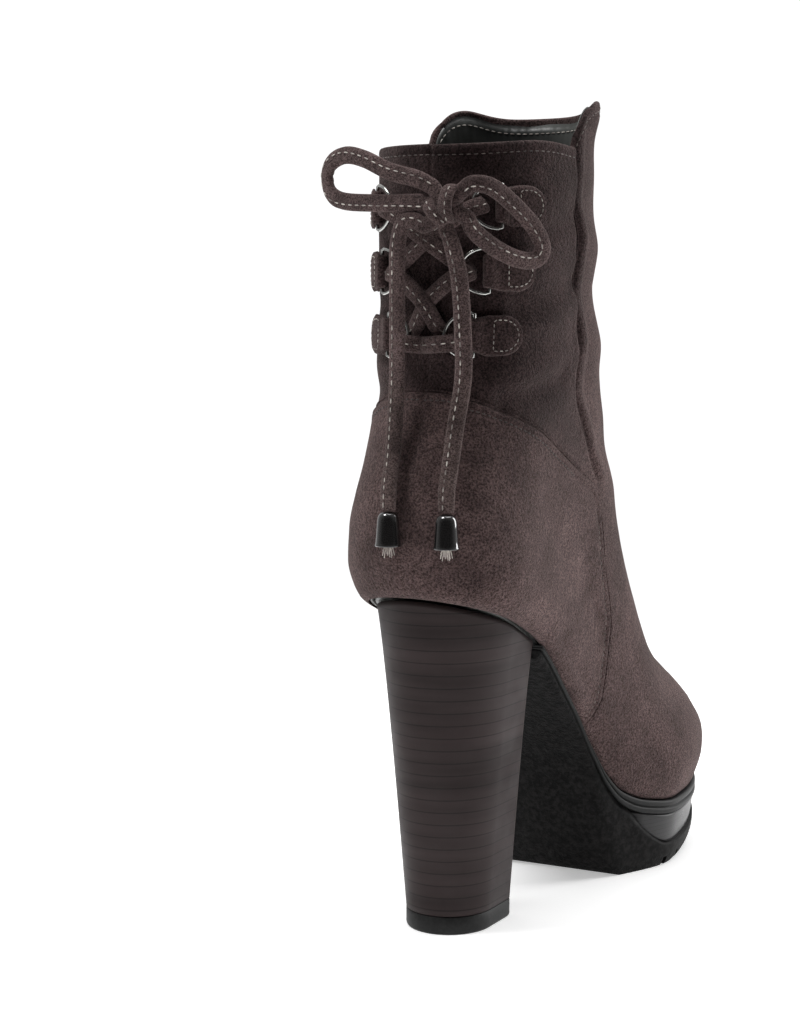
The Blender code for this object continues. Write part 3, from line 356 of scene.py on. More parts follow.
def loop(t, v):
    """Half width, y, z and sideways swing of the upper's loop v. t runs from back (0) to front (1)."""
    row = loop_row(v)
    shaft_front = COLLAR_DEPTH - COLLAR_BACK
    toe_tip = SHOE_LENGTH - COUNTER_BACK
    back_y = -COUNTER_BACK + (COUNTER_BACK - COLLAR_BACK) * row["back"]
    front_y = shaft_front + (toe_tip - shaft_front) * row["reach"]
    front_foot = PLATFORM_HEIGHT + TOE_SPRING
    back_z = SEAT_HEIGHT + (TUBE_TOP - SEAT_HEIGHT) * row["rise"]
    front_z = front_foot + (TUBE_TOP - front_foot) * row["crown"]
    y = back_y + (front_y - back_y) * t
    first_back = -COUNTER_BACK + (COUNTER_BACK - COLLAR_BACK) * LOOPS[0][1]
    first_front = shaft_front + (toe_tip - shaft_front) * LOOPS[0][3]
    sole_y = first_back + (first_front - first_back) * t
    sag = sole_height(sole_y) - (SEAT_HEIGHT + (front_foot - SEAT_HEIGHT) * t)
    z = back_z + (front_z - back_z) * t + sag * row["dip"]
    shaft = row["shaft"]
    narrow = 1 - shaft
    heel = COUNTER_WIDTH / 2 * row["heel"] * narrow + COLLAR_WIDTH / 2 * shaft
    waist = COUNTER_WIDTH / 2 * row["waist"] * narrow + COLLAR_WIDTH / 2 * shaft
    ball = BALL_WIDTH / 2 * row["ball"] * narrow + COLLAR_WIDTH / 2 * shaft
    width = eased(STATIONS, (heel, heel, waist, ball, ball), t)
    length = np.hypot(front_y - back_y, front_z - back_z)
    heel_nose = COUNTER_WIDTH / 2 * row["heel_nose"] * narrow + COLLAR_DEPTH / 2 * shaft
    toe_nose = BALL_TO_TOE * row["toe_nose"] * narrow + COLLAR_DEPTH / 2 * shaft
    width = width * nose(t * length, heel_nose) * nose((1 - t) * length, toe_nose)
    swing = -TOE_SWING * narrow * np.clip((y - BREAST) / (toe_tip - BREAST), 0, 1) ** 2
    return width, y, z, swing


def surface(side, t, v):
    width, y, z, swing = loop(t, v)
    return np.stack([swing + side * width, y, z], axis=-1)


def line_lengths(points):
    steps = np.linalg.norm(np.diff(points, axis=0), axis=1)
    return np.concatenate([[0], np.cumsum(steps)])


def resample(points, shares):
    along = line_lengths(points)
    wanted = np.asarray(shares) * along[-1]
    return np.stack([np.interp(wanted, along, points[:, k]) for k in range(points.shape[1])], axis=-1)


def even_steps(v, count):
    t = (1 - np.cos(np.linspace(0, math.pi, 241))) / 2
    width, y, z, _ = loop(t, v)
    along = line_lengths(np.stack([width, y, z], axis=-1))
    return np.interp(np.linspace(0, along[-1], count), along, t)


def rim_height(side, y):
    seam = LATERAL_SEAM if side == LATERAL else MEDIAL_SEAM
    start = table_curve(seam, 1.0) * SHOE_LENGTH + (MEDIAL_CORNER if side == MEDIAL else 0)
    length = RIM_CORNER * (1 if side == LATERAL else 0.75)
    climb = np.clip((y - start) / length, 0, 1)
    corner = np.sqrt(1 - (1 - climb) ** 2)
    front = COLLAR_DEPTH - COLLAR_BACK
    fall = np.clip((y - start - length) / (front - start - length), 0, 1)
    dip = RIM_DIP * (3 * fall**2 - 2 * fall**3)
    share = bell_curve(y, 5 * MM, 18 * MM) if side == LATERAL else 0.35 * (y < start)
    swell = RIM_WAVE * share * (1 - corner)
    return BACK_RIM_HEIGHT + (FRONT_PEAK_HEIGHT - BACK_RIM_HEIGHT) * corner - dip + swell


def side_sheet(side, columns, rows, under_rim=0.0):
    """A grid of one side's outer face, [column from back to front][row from sole to under the rim]."""
    levels = np.linspace(0, 1, 240)
    loops = np.stack([surface(side, even_steps(v, columns), v) for v in levels])
    grid = np.zeros((columns, rows, 3))
    for i in range(columns):
        line = loops[:, i]
        top = rim_height(side, line[:, 1]) - under_rim
        over = np.nonzero(line[:, 2] > top)[0][0]
        below, above = line[over - 1], line[over]
        gap_below = top[over - 1] - below[2]
        gap_above = above[2] - top[over]
        rim = below + (above - below) * gap_below / (gap_below + gap_above)
        grid[i] = resample(np.vstack([line[:over], rim]), np.linspace(0, 1, rows))
    return grid


def whole_sheet(columns, rows, under_rim=0.0):
    """Both sides joined round the boot: the outer side from back to front, then the inner side back again."""
    lateral = side_sheet(LATERAL, columns, rows, under_rim)
    medial = side_sheet(MEDIAL, columns, rows, under_rim)
    middle_front = (lateral[-1] + medial[-1]) / 2
    middle_back = (lateral[0] + medial[0]) / 2
    return np.concatenate([[middle_back], lateral[1:-1], [middle_front], medial[-2:0:-1]])


def sheet_normals(grid):
    """Outward normals of a sheet that closes round the boot."""
    wide = np.concatenate([grid[-2:], grid, grid[:2]])
    along = np.gradient(wide, axis=0)
    up = np.gradient(wide, axis=1)
    normal = np.cross(along, up)[2:-2]
    return normal / np.linalg.norm(normal, axis=2, keepdims=True)


def round_distance(grid, columns):
    """Distance round the boot from the middle of the back for each point, outer side positive."""
    half = columns
    steps = np.linalg.norm(np.diff(grid[:half], axis=0), axis=2)
    lateral = np.concatenate([np.zeros((1, grid.shape[1])), np.cumsum(steps, axis=0)])
    other = np.concatenate([grid[:1], grid[:half - 2:-1]])
    steps = np.linalg.norm(np.diff(other, axis=0), axis=2)
    medial = np.concatenate([np.zeros((1, grid.shape[1])), np.cumsum(steps, axis=0)])
    return np.concatenate([lateral, -medial[half - 2:0:-1]])


def fold_lift(round_way, up):
    total = np.zeros_like(round_way)
    for r1, u1, r2, u2, wide, high in FOLDS:
        way = np.array([r2 - r1, u2 - u1]) * MM
        off_r, off_u = round_way - r1 * MM, up - u1 * MM
        along = np.clip((off_r * way[0] + off_u * way[1]) / (way @ way), 0, 1)
        away = np.hypot(off_r - way[0] * along, off_u - way[1] * along)
        total += high * MM * np.exp(-((away / (wide * MM)) ** 2))
    return total


def behind_seam(seam, y, z):
    """How far behind a side seam a point lies, square to the seam."""
    down, step = z / BACK_RIM_HEIGHT, 0.004
    moved = table_curve(seam, down + step) - table_curve(seam, down - step)
    slope = moved * SHOE_LENGTH / (2 * step * BACK_RIM_HEIGHT)
    return (table_curve(seam, down) * SHOE_LENGTH - y) / np.sqrt(1 + slope**2)


def under_arc(y, z):
    ahead, step = y / SHOE_LENGTH, 0.004
    slope = (table_curve(ARC_SEAM, ahead + step) - table_curve(ARC_SEAM, ahead - step)) * BACK_RIM_HEIGHT
    slope /= 2 * step * SHOE_LENGTH
    return (table_curve(ARC_SEAM, ahead) * BACK_RIM_HEIGHT - z) / np.sqrt(1 + slope**2)


def inside_panel(under, behind):
    """How far inside the quarter panel a point lies, with the corner between its two seams rounded."""
    return (under + behind - np.sqrt((under - behind) ** 2 + (2 * CORNER_ROUND) ** 2)) / 2


def bell_curve(x, middle, wide):
    return np.exp(-(((x - middle) / wide) ** 2))


def seam_relief(sheet, columns):
    """The quarter panel's step and folded edge, the seams' grooves, the facing beside the zip and the rim."""
    y, z = sheet[..., 1], sheet[..., 2]
    outer = np.arange(len(sheet))[:, None] < columns
    behind = np.where(outer, behind_seam(LATERAL_SEAM, y, z), behind_seam(MEDIAL_SEAM, y, z))
    under = under_arc(y, z)
    inside = inside_panel(under, behind)
    rise = np.sqrt(np.clip(inside / (0.9 * MM), 0, 1))
    lift = PANEL_THICKNESS * rise
    lift += np.where(inside > 0, 0.22 * MM * bell_curve(inside, 1.3 * MM, 1.0 * MM), 0)
    lift -= 0.3 * MM * bell_curve(inside, 3.1 * MM, 0.8 * MM)
    lift -= np.where(inside <= 0, 0.45 * MM * bell_curve(inside, -0.4 * MM, 0.7 * MM), 0)
    shaft = np.clip(-under / (3 * MM), 0, 1) * outer
    lift -= 1.1 * MM * bell_curve(behind, 0, 0.8 * MM) * shaft
    lift += 0.9 * MM * bell_curve(behind, -3.4 * MM, 2.4 * MM) * shaft
    lift += 0.2 * MM * bell_curve(behind, 2.4 * MM, 1.4 * MM) * shaft
    zip_low = ZIP_FOOT * BACK_RIM_HEIGHT - 3 * MM
    beside = np.abs(behind)
    facing = np.clip((9.5 * MM - beside) / (2.4 * MM), 0, 1) * np.clip((beside - 2.4 * MM) / (1.0 * MM), 0, 1)
    facing *= np.clip((z - zip_low) / (4 * MM), 0, 1)
    facing = ZIP_FACING * facing**0.7 - 0.3 * MM * bell_curve(beside, 6 * MM, 0.7 * MM) * facing
    channel = (beside < 2.6 * MM) & (z > zip_low)
    lift = np.where(outer, lift, np.maximum(np.where(channel, 0.5 * MM, lift), facing))
    back = bell_curve(round_distance(sheet, columns), 0, 0.8 * MM)
    lift -= 0.45 * MM * back
    rim = sheet[:, -1:, 2] - z
    lift -= 0.3 * MM * bell_curve(rim, 2.6 * MM, 0.7 * MM)
    lift += 0.2 * MM * bell_curve(rim, 0.8 * MM, 1.0 * MM)
    over_sole = line_rise(sheet)
    lift *= np.clip(over_sole / (4 * MM), 0, 1)
    lift -= 0.5 * MM * bell_curve(over_sole, 0, 1.2 * MM)
    return lift


def line_rise(sheet):
    """Length of each column from the sole up to each of its points."""
    steps = np.linalg.norm(np.diff(sheet, axis=1), axis=2)
    return np.concatenate([np.zeros((len(sheet), 1)), np.cumsum(steps, axis=1)], axis=1)


def toe_lift(sheet):
    """The toe box swells over the sole's edge and lies flatter on top."""
    y, over = sheet[..., 1], sheet[..., 2] - sole_height(sheet[..., 1])
    ahead = np.clip((y - 88 * MM) / (34 * MM), 0, 1)
    ahead = ahead**2 * (3 - 2 * ahead)
    side = 2.4 * MM * bell_curve(over, 17 * MM, 13 * MM)
    top = -1.9 * MM * np.clip((over - 32 * MM) / (14 * MM), 0, 1)
    return ahead * (side + top)


def sunk_depth(sheet, columns):
    """How far the folds and the toe box press the suede in, which the layers behind it follow."""
    lift = fold_lift(round_distance(sheet, columns), sheet[..., 2]) + toe_lift(sheet)
    return np.minimum(lift, 0) * np.clip(line_rise(sheet) / (12 * MM), 0, 1)


def wave_lift(sheet):
    """The slight unevenness of stretched suede."""
    lift = np.zeros(sheet.shape[:2])
    for i, column in enumerate(sheet):
        for j, place in enumerate(column):
            lift[i, j] = noise.noise(Vector(place) * 42) * 0.35 + noise.noise(Vector(place) * 110) * 0.14
    return lift * MM


def crossing_line(grid, normals, values, by_rows):
    """Where values pass zero on a grid, as points and normals: one point a row, or one a column."""
    points, facing = [], []
    lines = range(grid.shape[1]) if by_rows else range(grid.shape[0])
    for k in lines:
        line = values[:, k] if by_rows else values[k]
        hits = np.nonzero(line[:-1] * line[1:] < 0)[0]
        if len(hits) == 0:
            continue
        i = hits[0]
        share = line[i] / (line[i] - line[i + 1])
        at = grid[:, k] if by_rows else grid[k]
        up = normals[:, k] if by_rows else normals[k]
        points.append(at[i] * (1 - share) + at[i + 1] * share)
        facing.append(up[i] * (1 - share) + up[i + 1] * share)
    return np.array(points), np.array(facing)


def grid_faces(columns, rows, closed=False, closed_rows=False):
    faces = []
    for i in range(columns if closed else columns - 1):
        for j in range(rows if closed_rows else rows - 1):
            a, b = i * rows, (i + 1) % columns * rows
            up = (j + 1) % rows
            faces.append((a + j, b + j, b + up, a + up))
    return faces


def add_mesh(name, verts, faces, finish, slot=None):
    mesh = bpy.data.meshes.new(name)
    mesh.from_pydata([tuple(p) for p in verts], [], faces)
    mesh.validate()
    work = bmesh.new()
    work.from_mesh(mesh)
    bmesh.ops.remove_doubles(work, verts=work.verts, dist=0.002 * MM)
    bmesh.ops.dissolve_degenerate(work, edges=work.edges, dist=0.001 * MM)
    bmesh.ops.recalc_face_normals(work, faces=work.faces)
    work.to_mesh(mesh)
    work.free()
    mesh.materials.append(finish)
    mesh.shade_smooth()
    obj = bpy.data.objects.new(name, mesh)
    bpy.context.scene.collection.objects.link(obj)
    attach(obj, "boot")
    return obj


def joined(parts):
    verts, faces, base = [], [], 0
    for part_verts, part_faces in parts:
        verts.append(np.asarray(part_verts))
        faces += [tuple(base + i for i in face) for face in part_faces]
        base += len(part_verts)
    return np.concatenate(verts), faces


def unit(vectors):
    return vectors / np.maximum(np.linalg.norm(vectors, axis=-1, keepdims=True), 1e-12)


def sweep(points, facing, width, thickness, segments=14, closed=False, power=2.0):
    """A tube of rounded flat section, its thin way along facing. width and thickness may be lists."""
    points = np.asarray(points, float)
    count = len(points)
    if closed:
        ahead = unit(np.roll(points, -1, axis=0) - np.roll(points, 1, axis=0))
    else:
        ahead = unit(np.gradient(points, axis=0))
    across = unit(np.cross(ahead, facing))
    out = unit(np.cross(across, ahead))
    width = np.broadcast_to(width, count)
    thickness = np.broadcast_to(thickness, count)
    verts = []
    for k in range(count):
        for angle in np.linspace(0, 2 * math.pi, segments, endpoint=False):
            c, s = math.cos(angle), math.sin(angle)
            x = math.copysign(abs(c) ** (2 / power), c) * width[k] / 2
            z = math.copysign(abs(s) ** (2 / power), s) * thickness[k] / 2
            verts.append(points[k] + across[k] * x + out[k] * z)
    faces = grid_faces(count, segments, closed=closed, closed_rows=True)
    if not closed:
        faces.append(tuple(range(segments)))
        faces.append(tuple(range(count * segments - 1, (count - 1) * segments - 1, -1)))
    return np.array(verts), faces


def dashes(points, facing, pitch, length, radius=STITCH, sink=0.3, shift=0.0):
    """Stitches along a line on a surface, each a small rounded dash that lies partly sunk."""
    along = line_lengths(points)
    count = max(1, int(along[-1] / pitch))
    rings = ((-1.0, 0.02), (-0.72, 0.75), (0.0, 1.0), (0.72, 0.75), (1.0, 0.02))
    parts = []
    for k in range(count):
        middle = (k + 0.5) * along[-1] / count
        ends = []
        for s in (-length / 2, length / 2):
            ends.append(np.array([np.interp(middle + s, along, points[:, a]) for a in range(3)]))
        up = unit(np.array([np.interp(middle, along, facing[:, a]) for a in range(3)]))
        way = ends[1] - ends[0]
        if np.linalg.norm(way) < length * 0.5:
            continue
        way = unit(way)
        across = unit(np.cross(way, up))
        place = (ends[0] + ends[1]) / 2 + up * radius * (1 - 2 * sink) + across * shift
        verts = []
        for t, fat in rings:
            for angle in np.linspace(0, 2 * math.pi, 6, endpoint=False):
                off = across * math.cos(angle) + up * math.sin(angle)
                verts.append(place + way * t * length / 2 + off * radius * fat)
        faces = grid_faces(len(rings), 6, closed_rows=True) + [tuple(range(6)), tuple(range(29, 23, -1))]
        parts.append((verts, faces))
    return joined(parts)


def pillow(grid, thickness, power=8):
    """A closed sheet with rounded edges, made from the grid of its middle."""
    columns, rows = grid.shape[:2]
    normal = unit(np.cross(np.gradient(grid, axis=0), np.gradient(grid, axis=1)))
    u = np.abs(np.linspace(-1, 1, columns))[:, None]
    v = np.abs(np.linspace(-1, 1, rows))[None, :]
    fat = np.sqrt(np.clip((1 - u ** (power * 3)) * (1 - v**power), 0, 1))[..., None]
    top = grid + normal * thickness / 2 * fat
    low = grid - normal * thickness / 2 * fat
    faces = grid_faces(columns, rows)
    return joined([(top.reshape(-1, 3), faces), (low.reshape(-1, 3), [f[::-1] for f in faces])])


def smooth_route(points, count):
    p = np.array(points, float)
    ends = np.vstack([2 * p[0] - p[1], p, 2 * p[-1] - p[-2]])
    dense = []
    for k in range(len(p) - 1):
        a, b, c, d = ends[k : k + 4]
        for s in np.linspace(0, 1, 24, endpoint=k == len(p) - 2):
            square, cube = 2 * a - 5 * b + 4 * c - d, 3 * b - a - 3 * c + d
            dense.append(0.5 * (2 * b + (c - a) * s + square * s**2 + cube * s**3))
    return resample(np.array(dense), np.linspace(0, 1, count))


def new_material(name, roughness, metallic=0.0, **sockets):
    made = bpy.data.materials.new(name)
    made.use_nodes = True
    shader = made.node_tree.nodes["Principled BSDF"]
    shader.inputs["Roughness"].default_value = roughness
    shader.inputs["Metallic"].default_value = metallic
    for socket, value in sockets.items():
        shader.inputs[socket.replace("_", " ")].default_value = value
    return made, made.node_tree, shader


def noise_node(tree, scale, detail=3.0, stretch=(1, 1, 1), rough=0.55):
    place = tree.nodes.new("ShaderNodeTexCoord")
    mapping = tree.nodes.new("ShaderNodeMapping")
    mapping.inputs["Scale"].default_value = stretch
    made = tree.nodes.new("ShaderNodeTexNoise")
    made.inputs["Scale"].default_value = scale
    made.inputs["Detail"].default_value = detail
    made.inputs["Roughness"].default_value = rough
    tree.links.new(place.outputs["Object"], mapping.inputs["Vector"])
    tree.links.new(mapping.outputs["Vector"], made.inputs["Vector"])
    return made.outputs["Fac"]


def level_lines(tree, pitch, wobble=0.25):
    """Level bands a pitch apart, as a value that dips at each line."""
    place = tree.nodes.new("ShaderNodeTexCoord")
    made = tree.nodes.new("ShaderNodeTexWave")
    made.bands_direction = "Z"
    made.inputs["Scale"].default_value = 2 * math.pi / (20 * pitch)
    made.inputs["Distortion"].default_value = wobble
    made.inputs["Detail"].default_value = 1
    made.inputs["Detail Scale"].default_value = 0.4
    tree.links.new(place.outputs["Object"], made.inputs["Vector"])
    return made.outputs["Fac"]


def ramp(tree, value, stops):
    """A colour ramp from (position, colour) stops."""
    made = tree.nodes.new("ShaderNodeValToRGB")
    points = made.color_ramp.elements
    while len(points) < len(stops):
        points.new(0.5)
    for point, (place, color) in zip(points, stops):
        point.position = place
        point.color = (*color, 1)
    tree.links.new(value, made.inputs["Fac"])
    return made.outputs["Color"]


def blend(tree, kind, factor, first, second):
    made = tree.nodes.new("ShaderNodeMix")
    made.data_type = "RGBA"
    made.blend_type = kind
    made.inputs[0].default_value = factor
    tree.links.new(first, made.inputs[6])
    tree.links.new(second, made.inputs[7])
    return made.outputs[2]


def bump(tree, value, distance, strength=1.0, after=None):
    made = tree.nodes.new("ShaderNodeBump")
    made.inputs["Strength"].default_value = strength
    made.inputs["Distance"].default_value = distance
    tree.links.new(value, made.inputs["Height"])
    if after:
        tree.links.new(after, made.inputs["Normal"])
    return made.outputs["Normal"]


def painted_shade_share(tree):
    """Mask of painted shade: 1 on the back of the shaft, above the arc seam's plane, fading to 0 below it and
    on the front panel.
    """
    place = tree.nodes.new("ShaderNodeTexCoord")
    shares = []
    for way, low, high in (((0, 0.45, 1), 176 * MM, 188 * MM), ((0, -1, 0.1), -30 * MM, 2 * MM)):
        reach = tree.nodes.new("ShaderNodeVectorMath")
        reach.operation = "DOT_PRODUCT"
        reach.inputs[1].default_value = way
        fade = tree.nodes.new("ShaderNodeMapRange")
        fade.interpolation_type = "SMOOTHSTEP"
        fade.inputs["From Min"].default_value = low
        fade.inputs["From Max"].default_value = high
        tree.links.new(place.outputs["Object"], reach.inputs[0])
        tree.links.new(reach.outputs["Value"], fade.inputs["Value"])
        shares.append(fade.outputs["Result"])
    both = tree.nodes.new("ShaderNodeMath")
    both.operation = "MULTIPLY"
    tree.links.new(shares[0], both.inputs[0])
    tree.links.new(shares[1], both.inputs[1])
    return both.outputs["Value"]


def suede_material(name, dark, light, grain=1400, nap=0.6 * MM, painted_shaft_shade=1.0):
    """Brushed microfibre: blotches where the nap lies differently, fine grain, and painted shade that darkens
    the back of the shaft.
    """
    made, tree, shader = new_material(name, 0.92, Sheen_Weight=0.22, Sheen_Roughness=0.45)
    shader.inputs["Sheen Tint"].default_value = (0.8, 0.66, 0.63, 1)
    shader.inputs["Specular IOR Level"].default_value = 0.1
    blotch = ramp(tree, noise_node(tree, 75, 5, rough=0.7), [(0.32, dark), (0.68, light)])
    worn = [(0.36, (0.56, 0.54, 0.54)), (0.64, (1.0, 1.0, 1.0))]
    patch = ramp(tree, noise_node(tree, 24, 3, rough=0.6), worn)
    tone = blend(tree, "MULTIPLY", 0.8, blotch, patch)
    # Painted shade: the back of the shaft, above the arc seam, is darkened to this share of its colour.
    darker = [(0.0, (1.0, 1.0, 1.0)), (1.0, (painted_shaft_shade, painted_shaft_shade * 0.97, painted_shaft_shade))]
    shaft = ramp(tree, painted_shade_share(tree), darker)
    tone = blend(tree, "MULTIPLY", 1.0, tone, shaft)
    fine = noise_node(tree, grain, 3, rough=0.7)
    speck = ramp(tree, fine, [(0.4, (0.14, 0.135, 0.135)), (0.6, (1.0, 1.0, 1.0))])
    tree.links.new(blend(tree, "MULTIPLY", 0.9, tone, speck), shader.inputs["Base Color"])
    coarse = bump(tree, noise_node(tree, 600, 3, rough=0.7), 0.9 * MM, 0.8)
    tree.links.new(bump(tree, fine, nap, 1.0, coarse), shader.inputs["Normal"])
    return made


def stack_material(name, dark, light, pitch, roughness, coat):
    """Stacked layers: fine level lines in a satin finish."""
    made, tree, shader = new_material(name, roughness, Coat_Weight=coat, Coat_Roughness=0.3)
    shader.inputs["Specular IOR Level"].default_value = 0.15
    lines = level_lines(tree, pitch)
    layers = ramp(tree, noise_node(tree, 40, 2, stretch=(0.3, 0.3, 3)), [(0.3, dark), (0.7, light)])
    cut = ramp(tree, lines, [(0.005, (0.4, 0.4, 0.4)), (0.03, (1.0, 1.0, 1.0))])
    tree.links.new(blend(tree, "MULTIPLY", 0.9, layers, cut), shader.inputs["Base Color"])
    grain = bump(tree, noise_node(tree, 900, 2), 0.02 * MM, 0.4)
    tree.links.new(bump(tree, cut, 0.05 * MM, 0.5, grain), shader.inputs["Normal"])
    glosses = [(0.3, (roughness * 0.8,) * 3), (0.7, (roughness * 1.25,) * 3)]
    gloss = ramp(tree, noise_node(tree, 45, 3), glosses)
    tree.links.new(gloss, shader.inputs["Roughness"])
    return made


def rubber_material(name, color, grain_scale, grain_depth, roughness=0.5):
    made, tree, shader = new_material(name, roughness)
    shader.inputs["Specular IOR Level"].default_value = 0.22
    rough = noise_node(tree, grain_scale, 4, rough=0.65)
    lighter = tuple(c * 1.8 for c in color)
    tree.links.new(ramp(tree, rough, [(0.35, color), (0.75, lighter)]), shader.inputs["Base Color"])
    tree.links.new(bump(tree, rough, grain_depth, 0.8), shader.inputs["Normal"])
    return made


def outsole_material(name):
    """Rubber: smooth on its sides and coarsely pebbled underneath."""
    made, tree, shader = new_material(name, 0.6)
    shader.inputs["Specular IOR Level"].default_value = 0.1
    place = tree.nodes.new("ShaderNodeNewGeometry")
    split = tree.nodes.new("ShaderNodeSeparateXYZ")
    tree.links.new(place.outputs["Normal"], split.inputs["Vector"])
    facing = tree.nodes.new("ShaderNodeMapRange")
    facing.inputs["From Min"].default_value = -0.15
    facing.inputs["From Max"].default_value = -0.45
    tree.links.new(split.outputs["Z"], facing.inputs["Value"])
    pebbles = noise_node(tree, 420, 4, rough=0.7)
    tone = ramp(tree, pebbles, [(0.42, (0.002, 0.002, 0.002)), (0.62, (0.013, 0.012, 0.012))])
    tree.links.new(tone, shader.inputs["Base Color"])
    deep = tree.nodes.new("ShaderNodeMath")
    deep.operation = "MULTIPLY"
    tree.links.new(facing.outputs["Result"], deep.inputs[0])
    tree.links.new(pebbles, deep.inputs[1])
    low = bump(tree, noise_node(tree, 900, 2), 0.05 * MM, 0.4)
    tree.links.new(bump(tree, deep.outputs["Value"], 1.6 * MM, 1.0, low), shader.inputs["Normal"])
    return made


def lining_material(name):
    made, tree, shader = new_material(name, 0.42, Sheen_Weight=0.15)
    shader.inputs["Specular IOR Level"].default_value = 0.5
    tones = [(0.34, (0.012, 0.0135, 0.0125)), (0.66, (0.055, 0.058, 0.053))]
    tone = ramp(tree, noise_node(tree, 55, 3), tones)
    tree.links.new(tone, shader.inputs["Base Color"])
    wrinkles = bump(tree, noise_node(tree, 70, 3, stretch=(1, 1, 0.3)), 3.0 * MM, 0.8)
    tree.links.new(bump(tree, noise_node(tree, 2400, 2), 0.06 * MM, 0.5, wrinkles), shader.inputs["Normal"])
    return made


def metal_material(name, color, roughness, metallic=1.0, coat=0.0):
    made, tree, shader = new_material(name, roughness, metallic, Coat_Weight=coat, Coat_Roughness=0.04)
    worn = noise_node(tree, 500, 3)
    darker = tuple(c * 0.8 for c in color)
    tree.links.new(ramp(tree, worn, [(0.35, darker), (0.65, color)]), shader.inputs["Base Color"])
    tree.links.new(bump(tree, noise_node(tree, 900, 2), 0.01 * MM, 0.3), shader.inputs["Normal"])
    return made


def thread_material(name, dark, light):
    made, tree, shader = new_material(name, 0.75, Sheen_Weight=0.3)
    tone = ramp(tree, noise_node(tree, 260, 2), [(0.38, dark), (0.62, light)])
    tree.links.new(tone, shader.inputs["Base Color"])
    tree.links.new(bump(tree, noise_node(tree, 5000, 2), 0.08 * MM, 0.6), shader.inputs["Normal"])
    return made


def tape_material(name):
    made, tree, shader = new_material(name, 0.8)
    weave = tree.nodes.new("ShaderNodeTexWave")
    place = tree.nodes.new("ShaderNodeTexCoord")
    weave.bands_direction = "Z"
    weave.inputs["Scale"].default_value = 2 * math.pi / (20 * 0.7 * MM)
    tree.links.new(place.outputs["Object"], weave.inputs["Vector"])
    tone = ramp(tree, weave.outputs["Fac"], [(0.2, (0.006, 0.006, 0.006)), (0.8, (0.022, 0.02, 0.02))])
    tree.links.new(tone, shader.inputs["Base Color"])
    tree.links.new(bump(tree, weave.outputs["Fac"], 0.15 * MM, 0.7), shader.inputs["Normal"])
    return made


@functools.cache
def edge_line(side, count):
    return surface(side, even_steps(0.0, count), 0.0)


def outline_ring(offset, height, start=None, count=180):
    """The upper's lower edge moved outward by offset and set to height(y), whole or ahead of y = start."""
    halves = []
    for side in (LATERAL, MEDIAL):
        edge = edge_line(side, count)
        way = np.gradient(edge[:, :2], axis=0)
        normal = unit(np.stack([way[:, 1], -way[:, 0]], axis=-1) * side)
        normal[0], normal[-1] = (0, -1), (0, 1)
        line = np.column_stack([edge[:, :2] + normal * offset, height(edge[:, 1])])
        if start is not None:
            first = np.nonzero(edge[:, 1] > start + 1 * MM)[0][0]
            behind, ahead = line[first - 1], line[first]
            share = (start - behind[1]) / (ahead[1] - behind[1])
            line = np.vstack([behind + (ahead - behind) * share, line[first:]])
        halves.append(line)
    return np.vstack([halves[0], halves[1][::-1]])


def loft(rings):
    """A closed solid through rings that are ladders: one side from back to front, then the other back."""
    count = len(rings[0])
    verts = np.concatenate(rings)
    faces = []
    for k in range(len(rings) - 1):
        for i in range(count):
            a, b = k * count + i, k * count + (i + 1) % count
            faces.append((a, b, b + count, a + count))
    top = (len(rings) - 1) * count
    for i in range(count // 2 - 1):
        far = count - 1 - i
        faces.append((i, i + 1, far - 1, far))
        faces.append((top + far, top + far - 1, top + i + 1, top + i))
    return verts, faces


def run_of(y):
    return (np.asarray(y) + COUNTER_BACK) / SHOE_LENGTH


def welt_edge(y):
    grow = np.clip((run_of(y) - 0.42) / 0.14, 0, 1)
    return WELT_SHANK_EDGE + (WELT_EDGE - WELT_SHANK_EDGE) * grow**2 * (3 - 2 * grow)


def welt_bottom(y):
    return sole_height(y) - GAP - welt_edge(y)


def floor_height(y):
    return TREAD_SPRING * np.clip((run_of(y) - 0.62) / 0.38, 0, 1) ** 2


def outsole_bottom(y):
    shank = welt_bottom(y) - GAP - OUTSOLE_EDGE
    down = np.clip((run_of(y) - 0.455) / 0.085, 0, 1)
    down = down**2 * (3 - 2 * down)
    return shank * (1 - down) + floor_height(y) * down


def outsole_top(y):
    dish = np.clip((run_of(y) - 0.545) / 0.115, 0, 1)
    dish = np.sin(dish * math.pi / 2) ** 1.2
    return (welt_bottom(y) - GAP) * (1 - dish) + (TREAD_HEIGHT + floor_height(y)) * dish


def make_upper(suede):
    """The suede: its outer face with folds and seams, rolled in at the rim, and a plain inner face."""
    sheet = whole_sheet(COLUMN_COUNT, ROW_COUNT, RIM_ROLL)
    normals = sheet_normals(sheet)
    round_way = round_distance(sheet, COLUMN_COUNT)
    soft = fold_lift(round_way, sheet[..., 2]) + wave_lift(sheet) + toe_lift(sheet)
    soft *= np.clip(line_rise(sheet) / (12 * MM), 0, 1)
    face = sheet + normals * (seam_relief(sheet, COLUMN_COUNT) + soft)[..., None]
    out = normals[:, -1] * (1, 1, 0)
    out = unit(out)
    roll = []
    for angle in np.linspace(0.35, math.pi, 6):
        shift = out * RIM_ROLL * (math.cos(angle) - 1)
        roll.append(face[:, -1] + shift + np.array([0, 0, RIM_ROLL]) * math.sin(angle))
    back = sheet + normals * (sunk_depth(sheet, COLUMN_COUNT) - SHELL)[..., None]
    inner = back[:, -3::-9]
    whole = np.concatenate([face, np.stack(roll, axis=1), inner], axis=1)
    columns, rows = whole.shape[:2]
    verts = whole.reshape(-1, 3)
    obj = add_mesh("suede_upper", verts, grid_faces(columns, rows, True, True), suede)
    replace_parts(obj, "upper")
    return sheet, face, sheet_normals(face)


